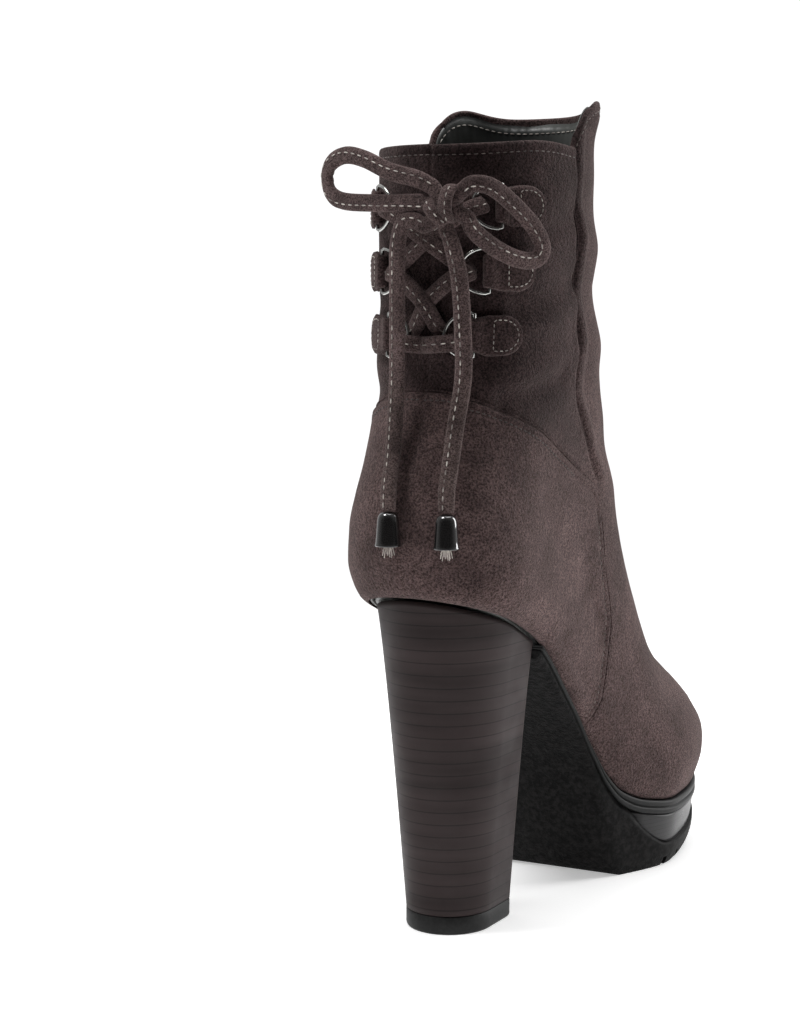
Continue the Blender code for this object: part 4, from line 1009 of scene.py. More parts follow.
def make_lining(finish):
    sheet = whole_sheet(80, 90, 2.2 * MM)
    normals = sheet_normals(sheet)
    ripple = np.zeros(sheet.shape[:2])
    for i, column in enumerate(sheet):
        for j, place in enumerate(column):
            ripple[i, j] = noise.noise(Vector(place) * 90) * 0.6 * MM
    depth = SHELL + 0.15 * MM - sunk_depth(sheet, 80)
    near = sheet - normals * depth[..., None]
    far = sheet - normals * (depth + LINING + ripple)[..., None]
    far[:, -1] = (near[:, -1] + far[:, -1]) / 2 + (0, 0, 0.3 * MM)
    whole = np.concatenate([near, far[:, ::-1]], axis=1)
    columns, rows = whole.shape[:2]
    faces = grid_faces(columns, rows, True, True)
    add_mesh("shaft_lining", whole.reshape(-1, 3), faces, finish, slot="lining")
    return far, -sheet_normals(far)


def folded_edge(points, facing, lift=0.62 * MM):
    return sweep(points + facing * lift, facing, 2 * FOLD_EDGE, 2 * FOLD_EDGE, 8)


def make_seams(sheet, face, normals, suede, dark_thread, light_thread):
    """Folded edges and stitches that follow the seams over the dressed suede."""
    y, z = sheet[..., 1], sheet[..., 2]
    half = COLUMN_COUNT
    edges, dark, light = [], [], []
    halves = ((LATERAL, LATERAL_SEAM, slice(0, half)), (MEDIAL, MEDIAL_SEAM, slice(half - 1, None)))
    for side, seam, part_of in halves:
        near_y, near_z, near, up = y[part_of], z[part_of], face[part_of], normals[part_of]
        behind, under = behind_seam(seam, near_y, near_z), under_arc(near_y, near_z)
        inside = inside_panel(under, behind)
        if side == LATERAL:
            seam_line, seam_up = crossing_line(near, up, behind, True)
            high = under_arc(seam_line[:, 1], seam_line[:, 2]) < 0
            edges.append(folded_edge(seam_line[high], seam_up[high], 0.1 * MM))
        for shift, into in ((0.0, None), (3.1 * MM, light)):
            line, line_up = crossing_line(near, up, inside - shift, True)
            keep = under_arc(line[:, 1], line[:, 2]) > behind_seam(seam, line[:, 1], line[:, 2])
            if side == MEDIAL:
                keep &= line[:, 2] < ZIP_FOOT * BACK_RIM_HEIGHT - 4 * MM
            if into is None:
                edges.append(folded_edge(line[keep][2:], line_up[keep][2:]))
            else:
                into.append(dashes(line[keep][3:], line_up[keep][3:], 2.0 * MM, 1.35 * MM, 0.2 * MM))
            arc, arc_up = crossing_line(near, up, inside - shift, False)
            keep = under_arc(arc[:, 1], arc[:, 2]) <= behind_seam(seam, arc[:, 1], arc[:, 2])
            if into is None:
                edges.append(folded_edge(arc[keep], arc_up[keep]))
            else:
                dark.append(dashes(arc[keep], arc_up[keep], 2.1 * MM, 1.4 * MM))
    rim = sheet[:, -1:, 2] - z
    line, line_up = crossing_line(face, normals, rim - 2.6 * MM, False)
    line, line_up = np.vstack([line, line[:1]]), np.vstack([line_up, line_up[:1]])
    light.append(dashes(line, line_up, 2.5 * MM, 1.6 * MM, 0.2 * MM))
    back = face[0][6:-4]
    dark.append(dashes(back, normals[0][6:-4], 2.4 * MM, 1.1 * MM, 0.17 * MM, shift=-1.3 * MM))
    light.append(dashes(back, normals[0][6:-4], 2.4 * MM, 1.1 * MM, 0.17 * MM, shift=1.3 * MM))
    add_mesh("panel_edges", *joined(edges), suede, slot="suede")
    add_mesh("seam_stitches", *joined(dark), dark_thread, slot="suede")
    add_mesh("side_stitches", *joined(light), light_thread, slot="lace")


def make_lining_stitches(face, normals, finish):
    top = face[:, -2]
    line, up = np.vstack([top, top[:1]]), np.vstack([normals[:, -2], normals[:1, -2]])
    add_mesh("lining_stitches", *dashes(line, up, 2.4 * MM, 1.7 * MM), finish, slot="lace")


def make_zip_stitches(sheet, face, normals, finish):
    """The rows beside the zip and the bars across its lower end."""
    half = COLUMN_COUNT
    near, up = face[half - 1 :], normals[half - 1 :]
    y, z = sheet[half - 1 :, :, 1], sheet[half - 1 :, :, 2]
    behind = behind_seam(MEDIAL_SEAM, y, z)
    parts = []
    for shift in (-6 * MM, 6 * MM):
        line, line_up = crossing_line(near, up, behind - shift, True)
        keep = line[:, 2] > ZIP_FOOT * BACK_RIM_HEIGHT - 2 * MM
        parts.append(dashes(line[keep], line_up[keep], 2.2 * MM, 1.5 * MM))
    foot = [crossing_line(near, up, behind - shift, True) for shift in np.linspace(-5 * MM, 5 * MM, 9)]
    for height in (0.0, 1.6 * MM):
        level = ZIP_FOOT * BACK_RIM_HEIGHT - 2 * MM + height
        bar = np.array([line[np.argmin(abs(line[:, 2] - level))] for line, _ in foot])
        bar_up = np.array([ups[np.argmin(abs(line[:, 2] - level))] for line, ups in foot])
        parts.append(dashes(bar + bar_up * 0.8 * MM, bar_up, 1.1 * MM, 1.0 * MM, 0.3 * MM))
    add_mesh("zip_stitches", *joined(parts), finish, slot="lace")


def zip_strip(shift_low, shift_high, lift, top, bottom, count):
    """Points beside the zip's line from the upper's function: [height][across]."""
    grid = []
    guide = side_sheet(MEDIAL, 60, 120)
    normal = unit(np.cross(np.gradient(guide, axis=0), np.gradient(guide, axis=1)) * MEDIAL)
    seam_y = table_curve(MEDIAL_SEAM, guide[..., 2] / BACK_RIM_HEIGHT) * SHOE_LENGTH
    for shift in np.linspace(shift_low, shift_high, 5):
        points, ups = crossing_line(guide, normal, guide[..., 1] - seam_y - shift, True)
        points = points + unit(ups) * lift
        order = np.argsort(points[:, 2])
        heights = np.linspace(bottom, top, count)
        row = [np.interp(heights, points[order, 2], points[order, k]) for k in range(3)]
        grid.append(np.stack(row, axis=-1))
    return np.stack(grid, axis=1)


def make_zip(tape_finish, teeth_finish):
    top, bottom = BACK_RIM_HEIGHT - 4 * MM, ZIP_FOOT * BACK_RIM_HEIGHT
    lift = GAP + PANEL_THICKNESS + GAP
    tape = zip_strip(-ZIP_TAPE / 2, ZIP_TAPE / 2, lift + ZIP_TAPE_THICKNESS / 2, top, bottom, 90)
    obj = add_mesh("zip_tape_woven", *pillow(tape, ZIP_TAPE_THICKNESS), tape_finish)
    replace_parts(obj, "zip_tape")
    middle = zip_strip(-0.01 * MM, 0.01 * MM, lift + 1.9 * MM, top - SLIDER_LENGTH - 2 * MM, bottom, 300)
    line = middle[:, 2]
    side_way = unit(middle[:, 4] - middle[:, 0])
    ahead = unit(np.gradient(line, axis=0))
    out = unit(np.cross(side_way, ahead))
    out *= np.sign(-out[:, :1])
    along = line_lengths(line)
    parts = []
    pitch = 1.25 * MM
    for k in range(int(along[-1] / pitch)):
        for hand in (-1, 1):
            place = (k + 0.25 + 0.5 * (hand > 0)) * pitch
            at = np.array([np.interp(place, along, line[:, a]) for a in range(3)])
            i = min(int(np.searchsorted(along, place)), len(line) - 1)
            ends = [at + side_way[i] * hand * reach for reach in (-0.5 * MM, 0.6 * MM, 2.0 * MM)]
            ends[1] += ahead[i] * 0.15 * MM + out[i] * 0.2 * MM
            widths = [0.7 * MM, 0.95 * MM, 0.7 * MM]
            parts.append(sweep(np.array(ends), np.tile(out[i], (3, 1)), widths, 1.15 * MM, 6))
    obj = add_mesh("zip_teeth_rows", *joined(parts), teeth_finish)
    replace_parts(obj, "zip_teeth")


@functools.cache
def shaft_slices():
    heights = np.linspace(min(RING_LEVELS.values()) - TAB_HEIGHT, BACK_RIM_HEIGHT, 40)
    levels = np.linspace(0.3, 1, 160)
    slices = {}
    for side in SIDES.values():
        t = (1 - np.cos(np.linspace(0, math.pi * 0.62, 120))) / 2
        lines = np.stack([surface(side, t, v) for v in levels])
        rings = np.zeros((len(heights), len(t), 3))
        for i in range(len(t)):
            for k in range(3):
                rings[:, i, k] = np.interp(heights, lines[:, i, 2], lines[:, i, k])
        slices[side] = rings
    return heights, slices


def on_back(arc, z, lift=0.0):
    """A point round the shaft from the middle of its back, outer side positive, and the normal there."""
    heights, slices = shaft_slices()
    side = LATERAL if arc >= 0 else MEDIAL
    rings = slices[side]

    def at(distance, height):
        place = np.clip((height - heights[0]) / (heights[1] - heights[0]), 0, len(heights) - 1.001)
        low = int(place)
        ring = rings[low] * (1 - place + low) + rings[low + 1] * (place - low)
        along = line_lengths(ring)
        return np.array([np.interp(abs(distance), along, ring[:, k]) for k in range(3)])

    here = at(arc, z)
    small = 0.5 * MM
    if abs(arc) < small:
        return here + np.array([0, -lift, 0]), np.array([0.0, -1.0, 0.0])
    normal = unit(np.cross(at(abs(arc) + small, z) - here, at(arc, z + small) - here) * side)
    return here + normal * lift, normal


def tab_half_height(reach):
    radius = TAB_HEIGHT / 2
    past = np.clip((reach - TAB_REACH + radius) / radius, 0, 0.995)
    widen = np.clip(reach / (0.3 * TAB_HEIGHT), 0, 1)
    return radius * math.sqrt(1 - past**2) * (TAB_FOLD_SHARE + (1 - TAB_FOLD_SHARE) * widen)


def make_tabs(suede, thread):
    """The folded ring tabs with their D of stitches."""
    fold = RING_WIRE / 2 + GAP + TAB_SHEET / 2
    low = GAP + TAB_SHEET / 2
    flat_top = low + TAB_SHEET + GAP
    end = TAB_REACH - GAP
    stitches = []
    for side_name, side in SIDES.items():
        for level, height in RING_LEVELS.items():
            bar = RING_BARS[level]
            path = [(bar + end * math.sin(a), low) for a in np.linspace(math.pi / 2, 0.05, 16)]
            for angle in np.linspace(-math.pi / 2, -3 * math.pi / 2, 11):
                path.append((bar + fold * math.cos(angle), low + fold + fold * math.sin(angle)))
            for a in np.linspace(0.12, math.pi / 2, 20):
                ease = math.sin(a)
                top_lift = flat_top + (2 * fold + low - flat_top) * max(0, 1 - ease / 0.3) ** 2
                path.append((bar + end * ease, top_lift))
            grid = []
            for arc, lift in path:
                half = tab_half_height(arc - bar)
                sway = 0.12 * MM * math.sin(arc * 700 + height * 900)
                rises = [height + half * r + sway for r in np.linspace(-1, 1, 15)]
                grid.append([on_back(side * arc, rise, lift)[0] for rise in rises])
            name = f"ring_tab_{side_name}_{level}"
            obj = add_mesh(f"{name}_suede", *pillow(np.array(grid), TAB_SHEET, 12), suede)
            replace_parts(obj, name)
            radius = TAB_HEIGHT / 2 - 1.7 * MM
            centre = TAB_REACH - TAB_HEIGHT / 2
            flat = centre - 3.2 * MM
            outline = [(flat, -radius), (centre, -radius)]
            for a in np.linspace(0.15, 2.99, 12):
                outline.append((centre + radius * math.sin(a), -radius * math.cos(a)))
            outline += [(centre, radius), (flat, radius), (flat, 0), (flat, -radius)]
            lift = flat_top + TAB_SHEET / 2
            dense = resample(np.array(outline, float), np.linspace(0, 1, 60))
            spots = [on_back(side * (bar + a), height + up, lift) for a, up in dense]
            line, ups = np.array([s[0] for s in spots]), np.array([s[1] for s in spots])
            stitches.append(dashes(line, ups, 1.9 * MM, 1.25 * MM, 0.2 * MM))
    add_mesh("tab_stitches", *joined(stitches), thread, slot="lace")


def make_rings(finish):
    half = RING_HEIGHT / 2 - RING_WIRE / 2
    corner = 1.2 * MM
    lift = GAP + TAB_SHEET + GAP + RING_WIRE / 2
    for side_name, side in SIDES.items():
        for level, height in RING_LEVELS.items():
            bar = RING_BARS[level]
            path = [(bar, half * share) for share in np.linspace(-0.95, 0.95, 8)]
            for angle in np.linspace(math.pi / 2, 3 * math.pi / 2, 27):
                path.append((bar - corner + (RING_DEPTH - corner) * math.cos(angle), half * math.sin(angle)))
            spots = [on_back(side * arc, height + up, lift) for arc, up in path]
            points, ups = np.array([s[0] for s in spots]), np.array([s[1] for s in spots])
            name = f"d_ring_{side_name}_{level}"
            tube = sweep(points, ups, WIRE, WIRE, 12, closed=True)
            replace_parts(add_mesh(f"{name}_wire", *tube, finish), name)


def strand_route(side):
    """One strand in (round, up, lift, thinness): low ring, across to the middle one and up to the top."""
    low, mid, top = (RING_LEVELS[level] for level in ("low", "mid", "top"))
    bow = {level: bar - RING_DEPTH + RING_WIRE / 2 for level, bar in RING_BARS.items()}
    over, under, turn = 5.0 * MM, 0.95 * MM, 2.8 * MM
    stops = [(0.0, low - LACE_DROP, 4.4 * MM, 1.0)]
    stops += [
        (side * (bow["low"] - 2.0 * MM), low - LACE_DROP, over, 1.0),
        (side * bow["low"], low - LACE_DROP + 0.2 * MM, over, 0.95),
        (side * (bow["low"] + 2.6 * MM), low - LACE_DROP + 0.6 * MM, 4.0 * MM, 0.8),
        (side * (bow["low"] + turn), low - LACE_DROP + 1.4 * MM, 2.5 * MM, 0.55),
        (side * (bow["low"] + 2.2 * MM), low - LACE_DROP + 2.4 * MM, 1.15 * MM, 0.4),
        (side * (bow["low"] - 0.4 * MM), low + 0.6 * MM, under, 0.36),
        (side * (bow["low"] - 3.6 * MM), low + 3.4 * MM, 2.1 * MM, 0.9),
        (0.0, (low + mid) / 2, 2.6 * MM + (1.9 * MM if side > 0 else 0), 1.0),
        (-side * (bow["mid"] - 4.5 * MM), mid - 4.0 * MM, 4.0 * MM, 1.0),
        (-side * (bow["mid"] - 0.6 * MM), mid - 1.6 * MM, over, 0.95),
        (-side * (bow["mid"] + 2.4 * MM), mid - 0.6 * MM, 4.1 * MM, 0.8),
        (-side * (bow["mid"] + turn), mid + 0.2 * MM, 2.5 * MM, 0.55),
        (-side * (bow["mid"] + 2.2 * MM), mid + 1.2 * MM, 1.15 * MM, 0.4),
        (-side * (bow["mid"] - 0.6 * MM), mid + 2.4 * MM, under, 0.36),
        (-side * (bow["mid"] - 4.0 * MM), mid + 4.6 * MM, 2.1 * MM, 0.9),
        (0.0, (mid + top) / 2, 2.6 * MM + (0 if side > 0 else 1.9 * MM), 1.0),
        (side * (bow["top"] - 5.5 * MM), top - 3.6 * MM, 4.0 * MM, 1.0),
        (side * (bow["top"] - 0.6 * MM), top - 0.8 * MM, over, 0.95),
        (side * (bow["top"] + 2.4 * MM), top + 0.2 * MM, 4.0 * MM, 0.8),
        (side * (bow["top"] + turn), top + 0.8 * MM, 2.5 * MM, 0.55),
        (side * (bow["top"] + 2.2 * MM), top + 1.0 * MM, 1.15 * MM, 0.4),
        (side * (bow["top"] - 0.6 * MM), top + 1.2 * MM, under, 0.36),
        (side * (bow["top"] - 4.5 * MM), top + 1.4 * MM, 2.4 * MM, 0.8),
        (side * 4.0 * MM + 3.0 * MM, top + 1.2 * MM, 5.0 * MM, 1.0),
    ]
    return smooth_route(stops, 330)


def strand_sweep(route):
    """A flat cord along a strand's route, its flat side kept in step as it turns through the rings."""
    spots = [on_back(arc, up, lift) for arc, up, lift, _ in route]
    points, ups = np.array([s[0] for s in spots]), np.array([s[1] for s in spots])
    ahead = unit(np.gradient(points, axis=0))
    facing = [ups[0]]
    for k in range(1, len(points)):
        carried = facing[-1] - ahead[k] * (facing[-1] @ ahead[k])
        flat = ups[k] - ahead[k] * (ups[k] @ ahead[k])
        if np.linalg.norm(flat) > 0.6:
            flat = flat / np.linalg.norm(flat) * math.copysign(1, flat @ carried)
            carried = carried / np.linalg.norm(carried) * 0.85 + flat * 0.15
        facing.append(carried / np.linalg.norm(carried))
    facing = np.array(facing)
    thin = np.clip(route[:, 3], 0.34, 1.0)
    return points, facing, ups, sweep(points, facing, LACE_WIDTH, LACE_THICKNESS * thin, 14, power=2.4), thin


def make_crossings(finish, thread):
    tubes, stitches = [], []
    for side in SIDES.values():
        points, facing, ups, tube, thin = strand_sweep(strand_route(side))
        tubes.append(tube)
        for hand in (-1, 1):
            shown = np.sum(facing * hand * ups, axis=1) > 0.5
            line = points + facing * hand * (LACE_THICKNESS / 2 * thin)[:, None]
            starts = np.nonzero(np.diff(np.concatenate([[0], shown.astype(int), [0]])))[0].reshape(-1, 2)
            for first, last in starts:
                if last - first > 14:
                    out = facing[first:last] * hand
                    stitches.append(dashes(line[first:last], out, 3.1 * MM, 1.8 * MM, 0.22 * MM, 0.2))
    obj = add_mesh("lace_strands", *joined(tubes), finish)
    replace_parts(obj, "lace_crossings")
    add_mesh("strand_stitches", *joined(stitches), thread, slot="lace")


def outward(points):
    """Level ways out from the shaft's middle."""
    middle = COLLAR_DEPTH / 2 - COLLAR_BACK
    return unit(np.column_stack([points[:, 0], points[:, 1] - middle, np.zeros(len(points))]))


def make_bells(finish, tuft_finish):
    """Domed caps with a thin flared rim, hollow underneath, and the frayed threads that hang out of them."""
    rim = BELL_RADIUS
    outer = [(0, 0), (0.22, -0.004), (0.42, -0.022), (0.58, -0.055), (0.7, -0.11), (0.77, -0.18)]
    outer += [(0.81, -0.28), (0.84, -0.42), (0.87, -0.58), (0.9, -0.74), (0.935, -0.88), (0.955, -0.925)]
    outer += [(0.99, -0.94), (1, -0.96)]
    outer += [(0.99, -0.985), (0.94, -0.99), (0.88, -0.95), (0.82, -0.7), (0.7, -0.5), (0, -0.45)]
    profile = [(rim * r, h * BELL_HEIGHT) for r, h in outer]
    steps = 48
    bells = {}
    for side_name in SIDES:
        end = np.array(LACE_ROUTES[f"lace_end_{side_name}"][-1]) * MM - (0, 0, 2 * GAP)
        verts = []
        for radius, height in profile:
            for a in np.linspace(0, 2 * math.pi, steps, endpoint=False):
                verts.append(end + (radius * math.cos(a), radius * math.sin(a), height))
        faces = grid_faces(len(profile), steps, closed_rows=True)
        bell = add_mesh(f"bell_cap_{side_name}", verts, faces, finish)
        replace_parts(bell, f"bell_{side_name}")
        threads = []
        for k in range(22):
            turn = k * 2.4
            spread = 0.35 + 0.65 * ((k * 7) % 11) / 11
            hang = 1.0 * MM + 3.2 * MM * ((k * 5) % 9) / 9
            base = end + np.array([math.cos(turn), math.sin(turn), 0]) * 1.6 * MM * spread
            foot = base + np.array([math.cos(turn) * spread, math.sin(turn) * spread, 0]) * 0.9 * MM
            drops = (BELL_HEIGHT * 0.6, BELL_HEIGHT, BELL_HEIGHT + hang)
            line = np.array([at - (0, 0, drop) for at, drop in zip((base, base, foot), drops)])
            widths = [0.5 * MM, 0.4 * MM, 0.22 * MM]
            threads.append(sweep(line, np.tile([0.3, 1.0, 0.1], (3, 1)), widths, 0.3 * MM, 6))
        tuft = add_mesh(f"bell_tuft_{side_name}", *joined(threads), tuft_finish, slot="lace")
        bells[side_name] = (bell, tuft)
    return bells


def make_cords(finish, thread):
    """The bow's loops and the hanging ends, each a flat stitched cord of its real length."""
    for name, stops in LACE_ROUTES.items():
        points = smooth_route(np.array(stops) * MM, 120)
        facing = outward(points)
        along = line_lengths(points)
        plump = 1 - 0.12 * np.exp(-along / (4 * MM)) - 0.12 * np.exp(-(along[-1] - along) / (3 * MM))
        cord = sweep(points, facing, LACE_WIDTH * plump, LACE_THICKNESS, 16, power=2.4)
        obj = add_mesh(f"{name}_cord", *cord, finish)
        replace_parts(obj, name)
        line = []
        for hand in ((1, -1) if "loop" in name else (1,)):
            shown = points + hand * facing * LACE_THICKNESS / 2
            line.append(dashes(shown, hand * facing, 3.1 * MM, 1.9 * MM, STITCH, 0.2, 0.9 * MM))
        sewn = add_mesh(f"{name}_stitches", *joined(line), thread, slot="lace")


def make_knot(finish, thread):
    """The knot: the cords run into it, and an upright band and a slanting one are wound over them."""
    centre = np.array(KNOT_CENTRE)
    core = centre + np.array(KNOT_CORE) * MM
    parts, stitches = [], []
    for name, stops in LACE_ROUTES.items():
        route = smooth_route(np.array(stops) * MM, 120)
        for line in ([route] if "end" in name else [route, route[::-1]]):
            way = unit(line[0] - line[3])
            path = [line[2], line[0], (line[0] + core) / 2 + way * 1.0 * MM, core]
            path = smooth_route(path, 18)
            parts.append(sweep(path, outward(path), LACE_WIDTH * 0.9, LACE_THICKNESS * 1.05, 14, power=2.4))
    turns = np.linspace(0, 2 * math.pi, 40, endpoint=False)
    for (x, y, z), tilt, deep, high, width in KNOT_BANDS:
        middle = centre + np.array([x, y, z]) * MM
        across = np.sin(turns) * math.sin(tilt) * high
        upward = np.sin(turns) * math.cos(tilt) * high
        round_way = np.column_stack([across, -np.cos(turns) * deep, upward])
        ring = middle + round_way * MM
        out = unit(round_way)
        parts.append(sweep(ring, out, width * MM, 2.8 * MM, 14, closed=True, power=2.4))
        front = np.concatenate([ring[-7:], ring[:8]])
        front_out = np.concatenate([out[-7:], out[:8]])
        front = front + front_out * 1.4 * MM
        stitches.append(dashes(front, front_out, 2.6 * MM, 1.6 * MM, STITCH, 0.2, 0.6 * MM))
    obj = add_mesh("lace_knot_wrap", *joined(parts), finish)
    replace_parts(obj, "lace_knot")
    add_mesh("knot_stitches", *joined(stitches), thread, slot="lace")


def heel_outline(half, back, front, corner, round_steps=40, corner_steps=8):
    points = []
    for angle in np.linspace(math.pi / 2, 0, round_steps):
        points.append((half * math.cos(angle), -back * math.sin(angle)))
    for angle in np.linspace(0, math.pi / 2, corner_steps):
        points.append((half - corner + corner * math.cos(angle), front - corner + corner * math.sin(angle)))
    right = np.array(points)
    return np.vstack([right, right[::-1] * (-1, 1)])


def heel_section(share):
    ease = share**0.82
    half = (HEEL_TOP_WIDTH * (1 - ease) + HEEL_FOOT_WIDTH * ease) / 2
    back = HEEL_TOP_BACK * (1 - ease) + HEEL_FOOT_BACK * ease
    front = BREAST * (1 - share) + HEEL_FOOT_FRONT * share
    return heel_outline(half, back, front, HEEL_CORNER)


def make_heel(stack, rubber):
    rings = []
    bottom = LIFT_THICKNESS + GAP
    for share in np.linspace(1, 0, 60):
        plan = heel_section(share)
        top = sole_height(plan[:, 1]) - GAP
        rings.append(np.column_stack([plan, bottom * share + top * (1 - share)]))
    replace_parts(add_mesh("heel_stack", *loft(rings), stack), "heel")
    plan = heel_section(1.0)
    rings = []
    steps = ((0, 0.965), (0.5 * MM, 0.99), (1.0 * MM, 1.0))
    steps += ((LIFT_THICKNESS - 0.3 * MM, 1.0), (LIFT_THICKNESS, 0.985))
    for height, size in steps:
        rings.append(np.column_stack([plan * size, np.full(len(plan), height)]))
    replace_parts(add_mesh("heel_lift_rubber", *loft(rings), rubber), "heel_lift")


def make_sole(rubber, underside, insert, board):
    """Welt with its two ribs, the stacked insert, the lugged rubber unit, and the insole."""
    start = BREAST + GAP
    ribs = [(0.1, 0.0), (0.8, 0.04), (1.0, 0.14), (1.0, 0.34), (0.75, 0.42), (0.1, 0.46), (0.1, 0.53)]
    ribs += [(0.8, 0.57), (1.0, 0.66), (1.0, 0.86), (0.7, 0.96), (0.1, 1.0)]
    rings = []
    for proud, share in ribs:
        def height(y, share=share):
            return sole_height(y) - GAP - welt_edge(y) * (1 - share)
        rings.append(outline_ring(WELT_PROUD * proud, height, start))
    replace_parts(add_mesh("welt_ribbed", *loft(rings), rubber), "welt")
    front = PLATFORM_START * SHOE_LENGTH - COUNTER_BACK

    def insert_bottom(y):
        return np.minimum(outsole_top(y) + GAP, welt_bottom(y) - 2 * GAP)

    rings = []
    for share in np.linspace(0, 1, 10):
        def height(y, share=share):
            return insert_bottom(y) * (1 - share) + (welt_bottom(y) - GAP) * share
        rings.append(outline_ring(-1.2 * MM * (1 - share) ** 1.6, height, front))
    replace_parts(add_mesh("platform_insert", *loft(rings), insert), "platform")
    rings = []
    for share in np.linspace(0, 1, 9):
        def height(y, share=share):
            return outsole_bottom(y) * (1 - share) + outsole_top(y) * share
        rings.append(outline_ring(-TREAD_INSET * (1 - share) ** 2.4, height, start))
    obj = add_mesh("outsole_lugged", *loft(rings), underside)
    cut = obj.modifiers.new("lugs", "BOOLEAN")
    cut.operation = "DIFFERENCE"
    cut.object = lug_cutter()
    cut.solver = "EXACT"
    bpy.context.view_layer.update()
    graph = bpy.context.evaluated_depsgraph_get()
    mesh = bpy.data.meshes.new_from_object(obj.evaluated_get(graph))
    cutter = cut.object
    obj.modifiers.remove(cut)
    obj.data = mesh
    bpy.data.objects.remove(cutter, do_unlink=True)
    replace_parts(obj, "outsole")
    inset = -(WALL + 2 * GAP)
    rings = []
    for share, pull in ((0, 0.3), (0.15, 0), (0.8, 0), (1.0, 0.6)):
        def height(y, share=share):
            return sole_height(y) + GAP + INSOLE_THICKNESS * share
        rings.append(outline_ring(inset - pull * MM, height))
    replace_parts(add_mesh("insole_padded", *loft(rings), board), "insole")


def lug_cutter():
    work = bmesh.new()
    for side in (LATERAL, MEDIAL):
        edge = edge_line(side, 29)
        line = edge[edge[:, 1] > LUG_START * SHOE_LENGTH - COUNTER_BACK].copy()
        line[:, 2] = 0
        spots = resample(line, (np.arange(LUG_COUNT) + 0.4) / LUG_COUNT)
        ahead = resample(line, (np.arange(LUG_COUNT) + 0.45) / LUG_COUNT) - spots
        for spot, way in zip(spots, ahead):
            box = bmesh.ops.create_cube(work, size=1)["verts"]
            turn = math.atan2(way[1], way[0])
            size = (LUG_WIDTH, 2 * LUG_REACH, 2 * LUG_HEIGHT + 2 * float(floor_height(spot[1])))
            for vert in box:
                x, y, z = vert.co.x * size[0], vert.co.y * size[1], vert.co.z * size[2]
                vert.co = (
                    spot[0] + x * math.cos(turn) - y * math.sin(turn),
                    spot[1] + x * math.sin(turn) + y * math.cos(turn),
                    z,
                )
    mesh = bpy.data.meshes.new("lug_notches")
    work.to_mesh(mesh)
    work.free()
    cutter = bpy.data.objects.new("lug_notches", mesh)
    bpy.context.scene.collection.objects.link(cutter)
    return cutter


def make_camera():
    """The photo's view: from behind and the outer side, a little above."""
    around, distance, height, down = math.radians(27), 0.75, 0.23, math.radians(6.03)
    yaw = around + math.atan(52 / 2130)
    data = bpy.data.cameras.new("camera")
    data.lens = 2130 / 1013 * 36
    data.sensor_width = 36
    data.clip_start = 0.01
    camera = bpy.data.objects.new("camera", data)
    camera.location = (distance * math.sin(around), -distance * math.cos(around), height)
    camera.rotation_euler = (math.pi / 2 - down, 0, yaw)
    bpy.context.scene.collection.objects.link(camera)
    bpy.context.scene.camera = camera


def add_light(name, place, target, size, power):
    data = bpy.data.lights.new(name, "AREA")
    data.shape = "RECTANGLE"
    data.size, data.size_y = size
    data.energy = power
    light = bpy.data.objects.new(name, data)
    light.location = place
    light.rotation_euler = (Vector(target) - Vector(place)).to_track_quat("-Z", "Y").to_euler()
    bpy.context.scene.collection.objects.link(light)


def light_world(tree):
    """White to the camera; as light, bright from the backdrop's side and dim from the front."""
    shown = tree.nodes["Background"]
    shown.inputs["Color"].default_value = (1, 1, 1, 1)
    shown.inputs["Strength"].default_value = 1.05
    place = tree.nodes.new("ShaderNodeTexCoord")
    facing = tree.nodes.new("ShaderNodeVectorMath")
    facing.operation = "DOT_PRODUCT"
    facing.inputs[1].default_value = (-0.4, 0.85, 0.35)
    spread = tree.nodes.new("ShaderNodeMapRange")
    spread.inputs["From Min"].default_value = -0.6
    spread.inputs["From Max"].default_value = 0.9
    spread.inputs["To Min"].default_value = 0.03
    spread.inputs["To Max"].default_value = 0.85
    lit = tree.nodes.new("ShaderNodeBackground")
    pick = tree.nodes.new("ShaderNodeMixShader")
    path = tree.nodes.new("ShaderNodeLightPath")
    tree.links.new(place.outputs["Generated"], facing.inputs[0])
    tree.links.new(facing.outputs["Value"], spread.inputs["Value"])
    tree.links.new(spread.outputs["Result"], lit.inputs["Strength"])
    tree.links.new(path.outputs["Is Camera Ray"], pick.inputs["Fac"])
    tree.links.new(lit.outputs["Background"], pick.inputs[1])
    tree.links.new(shown.outputs["Background"], pick.inputs[2])
    tree.links.new(pick.outputs["Shader"], tree.nodes["World Output"].inputs["Surface"])


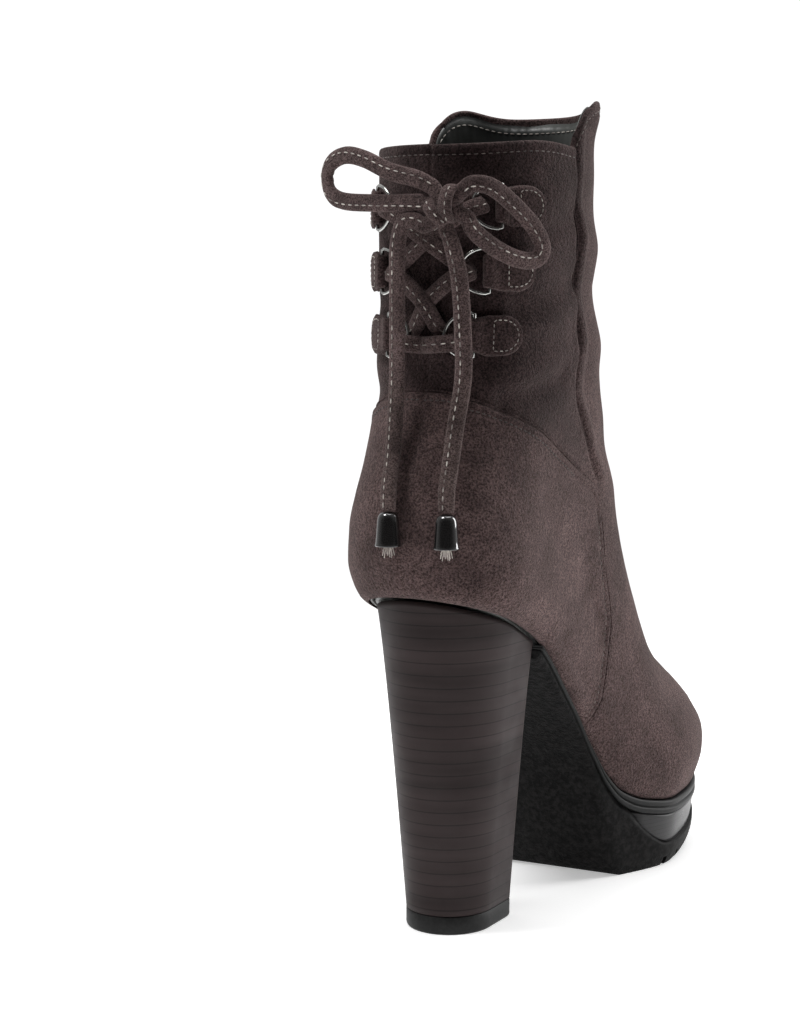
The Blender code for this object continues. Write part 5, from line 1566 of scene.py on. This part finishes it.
def make_studio():
    floor_mesh = bpy.data.meshes.new("floor")
    floor_mesh.from_pydata([(-6, -6, 0), (6, -6, 0), (6, 6, 0), (-6, 6, 0)], [], [(0, 1, 2, 3)])
    made, tree, shader = new_material("floor_white", 0.9)
    tone = ramp(tree, noise_node(tree, 3, 2), [(0.3, (0.9, 0.9, 0.9)), (0.7, (0.93, 0.93, 0.93))])
    tree.links.new(tone, shader.inputs["Base Color"])
    shader.inputs["Emission Color"].default_value = (1, 1, 1, 1)
    shader.inputs["Emission Strength"].default_value = 0.4
    place = tree.nodes.new("ShaderNodeTexCoord")
    away = tree.nodes.new("ShaderNodeVectorMath")
    away.operation = "LENGTH"
    fade = tree.nodes.new("ShaderNodeMapRange")
    fade.interpolation_type = "SMOOTHSTEP"
    fade.inputs["From Min"].default_value = 0.35
    fade.inputs["From Max"].default_value = 0.9
    fade.inputs["To Min"].default_value = 1
    fade.inputs["To Max"].default_value = 0
    tree.links.new(place.outputs["Object"], away.inputs[0])
    tree.links.new(away.outputs["Value"], fade.inputs["Value"])
    tree.links.new(fade.outputs["Result"], shader.inputs["Alpha"])
    floor_mesh.materials.append(made)
    floor = bpy.data.objects.new("floor", floor_mesh)
    bpy.context.scene.collection.objects.link(floor)
    world = bpy.data.worlds.new("studio")
    world.use_nodes = True
    light_world(world.node_tree)
    bpy.context.scene.world = world
    add_light("left", (-0.6, -0.5, 1.65), (0, 0.0, 0.15), (0.5, 0.5), 17)
    add_light("right", (0.9, 1.05, 0.65), (0, 0.05, 0.15), (0.5, 1.1), 13)
    add_light("top", (0.1, 0.3, 1.6), (0, 0.05, 0.1), (0.9, 0.9), 10)
    scene = bpy.context.scene
    scene.view_settings.view_transform = "Standard"


def main():
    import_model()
    make_camera()
    # The main suede gets painted shade on the back of the shaft, at 0.48 of its colour.
    suede = suede_material("suede_taupe", (0.098, 0.064, 0.062), (0.21, 0.14, 0.135), painted_shaft_shade=0.48)
    tab_suede = suede_material("suede_tabs", (0.072, 0.048, 0.046), (0.14, 0.096, 0.091))
    lace_suede = suede_material("suede_lace", (0.105, 0.074, 0.07), (0.24, 0.172, 0.162), grain=1800)
    light_thread = thread_material("thread_light", (0.2, 0.165, 0.15), (0.72, 0.66, 0.6))
    dark_thread = thread_material("thread_dark", (0.018, 0.013, 0.012), (0.07, 0.052, 0.048))
    soft_thread = thread_material("thread_soft", (0.05, 0.038, 0.034), (0.26, 0.21, 0.19))
    lining = lining_material("lining_satin")
    brown = ((0.019, 0.0125, 0.0125), (0.038, 0.0265, 0.0265))
    grey = ((0.024, 0.0235, 0.024), (0.046, 0.045, 0.046))
    stack = stack_material("stacked_heel", *brown, LEVEL_LINE, 0.5, 0.0)
    insert = stack_material("stacked_insert", *grey, 1.7 * MM, 0.34, 0.15)
    rubber = rubber_material("rubber_black", (0.009, 0.009, 0.009), 700, 0.08 * MM)
    underside = outsole_material("rubber_underside")
    nickel = metal_material("nickel_bright", (0.5, 0.5, 0.48), 0.2)
    gloss = metal_material("cap_black", (0.012, 0.011, 0.011), 0.08, 0.0, 1.0)
    tape = tape_material("zip_weave")
    teeth = rubber_material("zip_teeth_black", (0.012, 0.011, 0.011), 2500, 0.03 * MM, 0.35)
    bells = make_bells(gloss, light_thread)
    make_cords(lace_suede, light_thread)
    make_knot(lace_suede, light_thread)
    make_studio()
    sheet, face, normals = make_upper(suede)
    inner, inner_up = make_lining(lining)
    make_seams(sheet, face, normals, suede, dark_thread, soft_thread)
    make_lining_stitches(inner, inner_up, light_thread)
    make_zip_stitches(sheet, face, normals, light_thread)
    make_zip(tape, teeth)
    make_tabs(tab_suede, light_thread)
    make_rings(nickel)
    make_crossings(lace_suede, light_thread)
    make_heel(stack, rubber)
    make_sole(rubber, underside, insert, lining)
    for name in ("zip_slider", "zip_pull"):
        metal = bpy.data.objects[name]
        for place in metal.material_slots:
            place.material = nickel


main()
